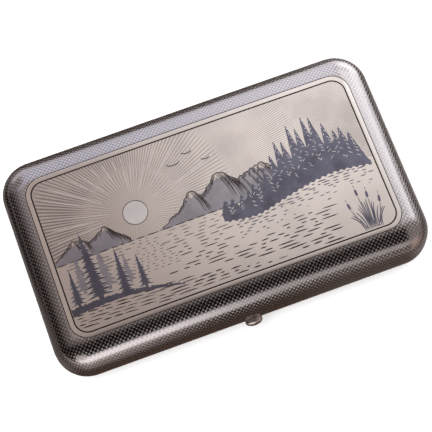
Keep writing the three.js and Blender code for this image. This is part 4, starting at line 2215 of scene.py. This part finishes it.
    def reed_heads(self) -> Strokes:
        """Stems of the reeds with dark heads.

        Yields:
            Each stroke's outline.
        """
        places = ((35.2, -15.4, -0.35), (38.4, -12.2, -0.1), (40.9, -13.6, 0.2), (43.6, -15.9, 0.4))
        for x, y, lean in places:
            foot, tip = (39.4 + (x - 39.4) * 0.35, -22.2), (x + lean * 1.4, y + 3.4)
            yield stroke((x, y), (x + lean, y + 2.2), 0.85, 0.9, 6)
            yield stroke((x + lean, y + 2.4), tip, 0.18, 0.5, 3)
            yield stroke(foot, (x, y - 0.2), 0.22, 0.3, 6, lean * -0.08)

    def build(self) -> None:
        """Makes and lays every shape, which draw their random numbers in this order."""
        silver, bright, dark = PANEL_SILVER.build(), BRIGHT_CUT.build(), NIELLO.build()
        pale, ink = PALE_NIELLO.build(), LINE_NIELLO.build()
        far = self.ridge(-self.half_panel[0], -24.6, CASE.shore + 1.0, self.far_tops, 0.35)
        near = self.ridge(-15.5, 24, CASE.shore + 0.3, self.near_tops, 0.4)
        skylines = (far, near)
        trees = self.wood_trees()
        self.inlay("picture_rays", 0.006, bright, self.rays())
        self.inlay("picture_sun", 0.008, bright, self.sun_disc())
        self.inlay("picture_sun_ring", 0.010, ink, self.sun_ring())
        self.inlay("picture_hills", 0.012, pale, map(self.down_to_shore, skylines))
        self.inlay("picture_snow", 0.015, silver, [*self.caps(far, 1.8), *self.caps(near, 2.6)])
        hatching = [cut for skyline in skylines for cut in self.hatching(skyline)]
        self.inlay("picture_hatching", 0.018, ink, hatching, 7)
        lines = [ribbon(skyline, 0.3, 0.4) for skyline in skylines]
        self.inlay("picture_skylines", 0.021, ink, [*lines, *self.far_shore()])
        self.inlay("picture_birds", 0.015, ink, self.birds())
        self.inlay("picture_water", 0.012, ink, [*self.ripples(), *self.glitter()], 4)
        self.inlay("picture_mirrored_wood", 0.014, dark, self.mirrored_wood())
        self.inlay("picture_wood", 0.024, dark, [self.wood(trees)])
        self.inlay("picture_rear_firs", 0.024, pale, map(Fir.outline, REAR_FIRS), 3)
        self.inlay("picture_near_firs", 0.030, dark, map(Fir.outline, NEAR_FIRS), 4)
        self.inlay("picture_knoll", 0.015, ink, self.knoll())
        self.inlay("picture_knoll_edge", 0.033, dark, self.knoll_edge())
        self.inlay("picture_reeds", 0.018, dark, self.reeds(), 5)
        self.inlay("picture_reed_heads", 0.021, dark, self.reed_heads(), 3)
        near_lights = [cut for fir in NEAR_FIRS for cut in fir.lights()]
        self.inlay("picture_cuts", 0.036, bright, [*self.wood_lights(trees), *near_lights], 3)


# Studio


WIDE = math.inf
Span = tuple[float, float, float, float]
ANY: Span = (-WIDE, -WIDE, WIDE, WIDE)


@dataclass(frozen=True)
class Glow:
    """One soft patch of the tent's light.

    Lean is the angle from straight up towards the back of the case and side the angle towards
    its right end, both in degrees, as (none, full, full, none); WIDE leaves an end open.
    """

    colour: Colour
    lean: Span = ANY
    side: Span = ANY

    def mask(self, lean: Wire, side: Wire) -> Wire:
        """Where the patch shows.

        Args:
            lean: The direction's lean.
            side: The direction's side angle.

        Returns:
            1 in the patch, 0 outside it.
        """
        spans = []
        for value, (none, full, still, gone) in ((lean, self.lean), (side, self.side)):
            if none > -WIDE:
                spans.append(value.step(none, full))
            if gone < WIDE:
                spans.append(value.fall(still, gone))
        whole = spans[0]
        for span in spans[1:]:
            whole = whole * span
        return whole


@dataclass
class Tent:
    """A light tent round the case, and a mat under it, that only gleaming surfaces see; the mat is
    painted shade and painted reflections of the floor round the case.
    """

    radius: float = 700.0
    mat_share: float = 0.98
    mat_height: float = 0.02
    dark: Colour = (0.011, 0.008, 0.007, 1)
    glows: tuple[Glow, ...] = (
        Glow((0.17, 0.14, 0.128, 1), lean=(-12, 0, WIDE, WIDE)),
        Glow((0.42, 0.335, 0.305, 1), lean=(4, 18, WIDE, WIDE), side=(-20, -8, WIDE, WIDE)),
        Glow((0.47, 0.395, 0.36, 1), lean=(4, 14, WIDE, WIDE), side=(-44, -26, -14, -6)),
        Glow((0.016, 0.012, 0.010, 1), side=(-WIDE, -WIDE, -68, -46)),
        Glow((1.13, 1.065, 1.03, 1), lean=(7, 21, WIDE, WIDE), side=(-7, 12, WIDE, WIDE)),
        Glow((0.08, 0.065, 0.06, 1), lean=(-14, -9, 3, 15), side=(-3, 1, 6, 10)),
        Glow((0.70, 0.68, 0.77, 1), lean=(26, 36, 78, 90), side=(-50, -36, WIDE, WIDE)),
        Glow((0.25, 0.21, 0.205, 1), lean=(33, 45, 80, 90), side=(-60, -48, -27, -15)),
        Glow((0.80, 0.74, 0.76, 1), lean=(66, 76, WIDE, WIDE), side=(-44, -34, -12, 0)),
        Glow((1.17, 1.135, 1.22, 1), lean=(26, 36, 78, 90), side=(-6, 12, WIDE, WIDE)),
        Glow((0.72, 0.68, 0.665, 1), lean=(-2, 10, 60, 86), side=(18, 26, 66, 78)),
        Glow((1.05, 1.01, 1.02, 1), lean=(30, 40, WIDE, WIDE), side=(20, 30, 66, 74)),
        Glow((1.6, 1.55, 1.56, 1), lean=(16, 26, 44, 56), side=(20, 30, 67, 74)),
        Glow((1.85, 1.81, 1.81, 1), lean=(28, 36, 60, 76), side=(46, 54, 68, 74)),
        Glow((2.15, 2.12, 2.12, 1), lean=(60, 74, WIDE, WIDE), side=(24, 36, 64, 72)),
        Glow((1.95, 1.80, 1.75, 1), lean=(-84, -73, -61, -49), side=(-52, -36, -3, 9)),
        Glow((0.80, 0.72, 0.69, 1), lean=(-70, -61, -49, -40), side=(-50, -40, -28, -12)),
        Glow((0.56, 0.50, 0.48, 1), lean=(-76, -66, -58, -48), side=(0, 6, WIDE, WIDE)),
        Glow((0.62, 0.52, 0.46, 1), lean=(-WIDE, -WIDE, -84, -76), side=(-WIDE, -WIDE, -6, 4)),
        Glow((0.29, 0.25, 0.235, 1), lean=(-70, -60, 0, 10), side=(26, 40, WIDE, WIDE)),
        Glow((0.15, 0.125, 0.115, 1), lean=(-WIDE, -WIDE, -78, -70), side=(5, 12, WIDE, WIDE)),
        Glow((0.62, 0.465, 0.39, 1), lean=(-WIDE, -WIDE, -68, -58), side=(28, 40, 50, 66)),
        Glow((0.34, 0.30, 0.285, 1), lean=(10, 30, WIDE, WIDE), side=(67, 75, WIDE, WIDE)),
    )
    # The mat's tones are painted shade and painted reflections of the floor that the case mirrors.
    mat_near: Colour = (0.070, 0.045, 0.034, 1)
    mat_far: Colour = (0.055, 0.045, 0.043, 1)
    mat_right: Colour = (0.29, 0.25, 0.235, 1)
    mat_beyond: Colour = (0.115, 0.095, 0.09, 1)
    mat_white: Colour = (1.7, 1.67, 1.67, 1)
    mat_warm: Colour = (0.42, 0.31, 0.255, 1)
    mat_left: Colour = (0.13, 0.105, 0.095, 1)
    mat_rim: Colour = (0.17, 0.145, 0.135, 1)
    mat_shade: Colour = (0.014, 0.010, 0.008, 1)
    mat_side: Colour = (0.105, 0.08, 0.068, 1)
    mat_gleam: Colour = (0.30, 0.255, 0.235, 1)

    def unseen(self, obj: Object, material: Material) -> None:
        """Dresses a reflector and hides it from all but reflections.

        Args:
            obj: The reflector.
            material: Its glow.
        """
        obj.data.materials.append(material)
        for kind in ("camera", "diffuse", "transmission", "volume_scatter", "shadow"):
            setattr(obj, "visible_" + kind, False)
        obj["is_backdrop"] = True

    def light(self) -> Material:
        """The tent's glow, from its patches of light.

        Returns:
            The material.
        """
        graph = Graph("tent")
        x, y, z = graph.place()
        lean = y.math("ARCTAN2", z) * math.degrees(1)
        side = (x / self.radius).math("ARCSINE") * math.degrees(1)
        colour: Wire | Colour = self.dark
        for glow in self.glows:
            colour = graph.mix(glow.mask(lean, side), colour, glow.colour)
        return graph.shining(colour)

    def mat_painted_floor_reflection(self) -> Material:
        """The mat's glow: painted shade, dark beside the case, with painted paler and darker
        patches of the mirrored floor round it.

        Returns:
            The material.
        """
        graph = Graph("mat")
        x, y, _ = graph.place()
        across = (abs(x) - (CASE.half_length - CASE.corner)).math("MAXIMUM", 0.0)
        along = (abs(y) - (CASE.half_width - CASE.corner)).math("MAXIMUM", 0.0)
        away = (across ** 2 + along ** 2).math("SQRT") - CASE.corner
        right = x.step(48, 60).math("MAXIMUM", x.step(34, 56) * y.step(14, 36))
        parts = (
            (away.step(5, 120), self.mat_far),
            (x.step(8, 34), self.mat_side),
            (right, graph.mix(away.step(9, 30), self.mat_right, self.mat_beyond)),
            (x.step(60, 90) * y.fall(-75, -40), self.mat_warm),
            (x.step(66, 100) * y.step(50, 76), self.mat_white),
            (x.fall(-90, -50) * 0.85, self.mat_left),
            (x.span(-78, -70, -58, -54) * y.step(-45, -30), self.mat_rim),
            (x.span(-190, -130, -78, -70) * y.span(-6, 16, 60, 80), self.mat_shade),
            (x.fall(-66, -40) * y.step(80, 112), self.mat_gleam),
            (x.fall(-44, 0) * x.step(-120, -60, 0.4, 1.0) * y.fall(-76, -42), self.mat_gleam),
        )
        # Painted shade beside the case, mixed with painted patches of reflected light and shade
        # further out.
        colour: Wire | Colour = self.mat_near
        for share, tone in parts:
            colour = graph.mix(share, colour, tone)
        return graph.shining(colour)

    def build(self) -> None:
        """Adds the tent and the mat of painted floor shade and reflections."""
        deselect_all()
        bpy.ops.mesh.primitive_uv_sphere_add(segments=48, ring_count=24, radius=self.radius * MM)
        dome = bpy.context.object
        dome.name = "light_tent"
        with editing(dome):
            bpy.ops.mesh.bisect(plane_co=(0, 0, 0), plane_no=(0, 0, 1), clear_inner=True)
        self.unseen(dome, self.light())
        deselect_all()
        bpy.ops.mesh.primitive_circle_add(
            vertices=48,
            radius=self.radius * self.mat_share * MM,
            fill_type="NGON",
            location=(0, 0, self.mat_height * MM),
        )
        self.unseen(seat(bpy.context.object, "mat"), self.mat_painted_floor_reflection())


@dataclass
class Studio:
    """A plain pale floor, soft lamps and the camera of the photograph."""

    focal: float = 1600.0
    distance: float = 453.1
    turns: Triple = (-18.26, 4.65, 21.03)
    slide: Flat = (0.663, -0.685)
    picture: float = 432.0
    sensor: float = 36.0
    clip: Flat = (10.0, 20000.0)
    backdrop: float = 0.45
    white: Colour = (1, 1, 1, 1)
    pale: Colour = (0.90, 0.90, 0.90, 1)
    paler: Colour = (0.93, 0.93, 0.93, 1)
    floor_glow: float = 0.35
    floor_size: float = 3000.0
    lamps: tuple[tuple[str, Triple, float, float], ...] = (
        ("key", (-500, -300, 1100), 900, 9.0),
        ("fill", (700, 400, 900), 900, 5.0),
    )

    def camera(self) -> None:
        """Adds the camera."""
        data = bpy.data.cameras.new("camera")
        data.sensor_width = self.sensor
        data.lens = self.focal * self.sensor / self.picture
        data.clip_start, data.clip_end = (end * MM for end in self.clip)
        obj = bpy.data.objects.new("camera", data)
        bpy.context.scene.collection.objects.link(obj)
        tilt_x, tilt_y, tilt_z = (math.radians(a) for a in self.turns)
        view = Matrix.Identity(3)
        for tilt, axis in ((tilt_z, "Z"), (tilt_x, "X"), (tilt_y, "Y")):
            view = view @ Matrix.Rotation(tilt, 3, axis)
        back = view.transposed()
        place = back @ Vector((*self.slide, self.distance)) + Vector((0, 0, CASE.seam))
        obj.matrix_world = Matrix.Translation(place * MM) @ back.to_4x4()
        bpy.context.scene.camera = obj

    def world(self) -> None:
        """White behind the case and soft grey light round it."""
        graph = Graph("studio", world=True)
        strength = graph.seen_or_mirrored() * self.backdrop + (1 - self.backdrop)
        inputs = {"Color": self.white, "Strength": strength}
        sky = graph.wire("ShaderNodeBackground", inputs=inputs)
        graph.node("ShaderNodeOutputWorld", inputs={"Surface": sky})
        bpy.context.scene.world = graph.owner

    def floor(self) -> None:
        """A pale floor that shows the case's shadow on white."""
        deselect_all()
        bpy.ops.mesh.primitive_plane_add(size=self.floor_size * MM, location=(0, 0, 0))
        obj = bpy.context.object
        obj.name = "floor"
        graph = Graph("floor")
        pale = graph.mix(graph.noise(900.0), self.pale, self.paler)
        matt = graph.wire("ShaderNodeBsdfPrincipled", inputs={"Base Color": pale, "Roughness": 0.9})
        clear, glow = (
            graph.wire("ShaderNodeEmission", inputs={"Color": self.white, "Strength": strength})
            for strength in (0.0, self.floor_glow)
        )
        inputs = {0: graph.seen_or_mirrored(), 1: clear, 2: glow}
        lift = graph.wire("ShaderNodeMixShader", inputs=inputs)
        both = graph.wire("ShaderNodeAddShader", inputs={0: matt, 1: lift})
        graph.node("ShaderNodeOutputMaterial", inputs={"Surface": both})
        obj.data.materials.append(graph.owner)
        obj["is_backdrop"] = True

    def lamp(self, name: str, place: Point, size: float, power: float) -> None:
        """Adds a soft square lamp that faces the case.

        Args:
            name: The lamp's name.
            place: Where it hangs, in millimetres.
            size: Its side in millimetres.
            power: Its power in watts.
        """
        data = bpy.data.lights.new(name, "AREA")
        data.size = size * MM
        data.energy = power
        obj = bpy.data.objects.new(name, data)
        bpy.context.scene.collection.objects.link(obj)
        where = Vector(place) * MM
        facing = where.to_track_quat("Z", "Y").to_matrix().to_4x4()
        obj.matrix_world = Matrix.Translation(where) @ facing
        obj.visible_glossy = False
        obj.visible_camera = False

    def build(self) -> None:
        """Adds everything of the set."""
        bpy.context.scene.view_settings.view_transform = "Standard"
        self.world()
        self.floor()
        self.camera()
        for lamp in self.lamps:
            self.lamp(*lamp)
        Tent().build()


def main() -> None:
    """Builds the case and its studio."""
    logging.basicConfig(level=logging.INFO, format="%(message)s")
    Studio().build()
    outside = CaseSilver().build()
    under = CaseSilver("under_silver", engraved_sky=False).build()
    silver, gilt, steel = SILVER.build(), GILT.build(), STEEL.build()
    elastic = Woven().build()
    hinge, catch = Hinge(), Catch()
    Shell(Body.LID, up=1, crown=CASE.crown).build((outside, gilt, silver), hinge.cutters())
    Shell(Body.BASE, up=-1).build((under, gilt, silver), [*hinge.cutters(), catch.window()])
    LidPicture().build()
    hinge.build(silver, steel)
    catch.build(silver, steel)
    Bezel().build(gilt, catch.rivets)
    Band(Body.BASE, bar_z=2.1, up=1).build(elastic, gilt)
    Band(Body.LID, bar_z=15.3953, up=-1).build(elastic, gilt)
    boxes = {"cad": CAD_BOX, "scene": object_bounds()}
    sizes = {name: [list(corner) for corner in box] for name, box in boxes.items()}


if __name__ == "__main__":
    main()
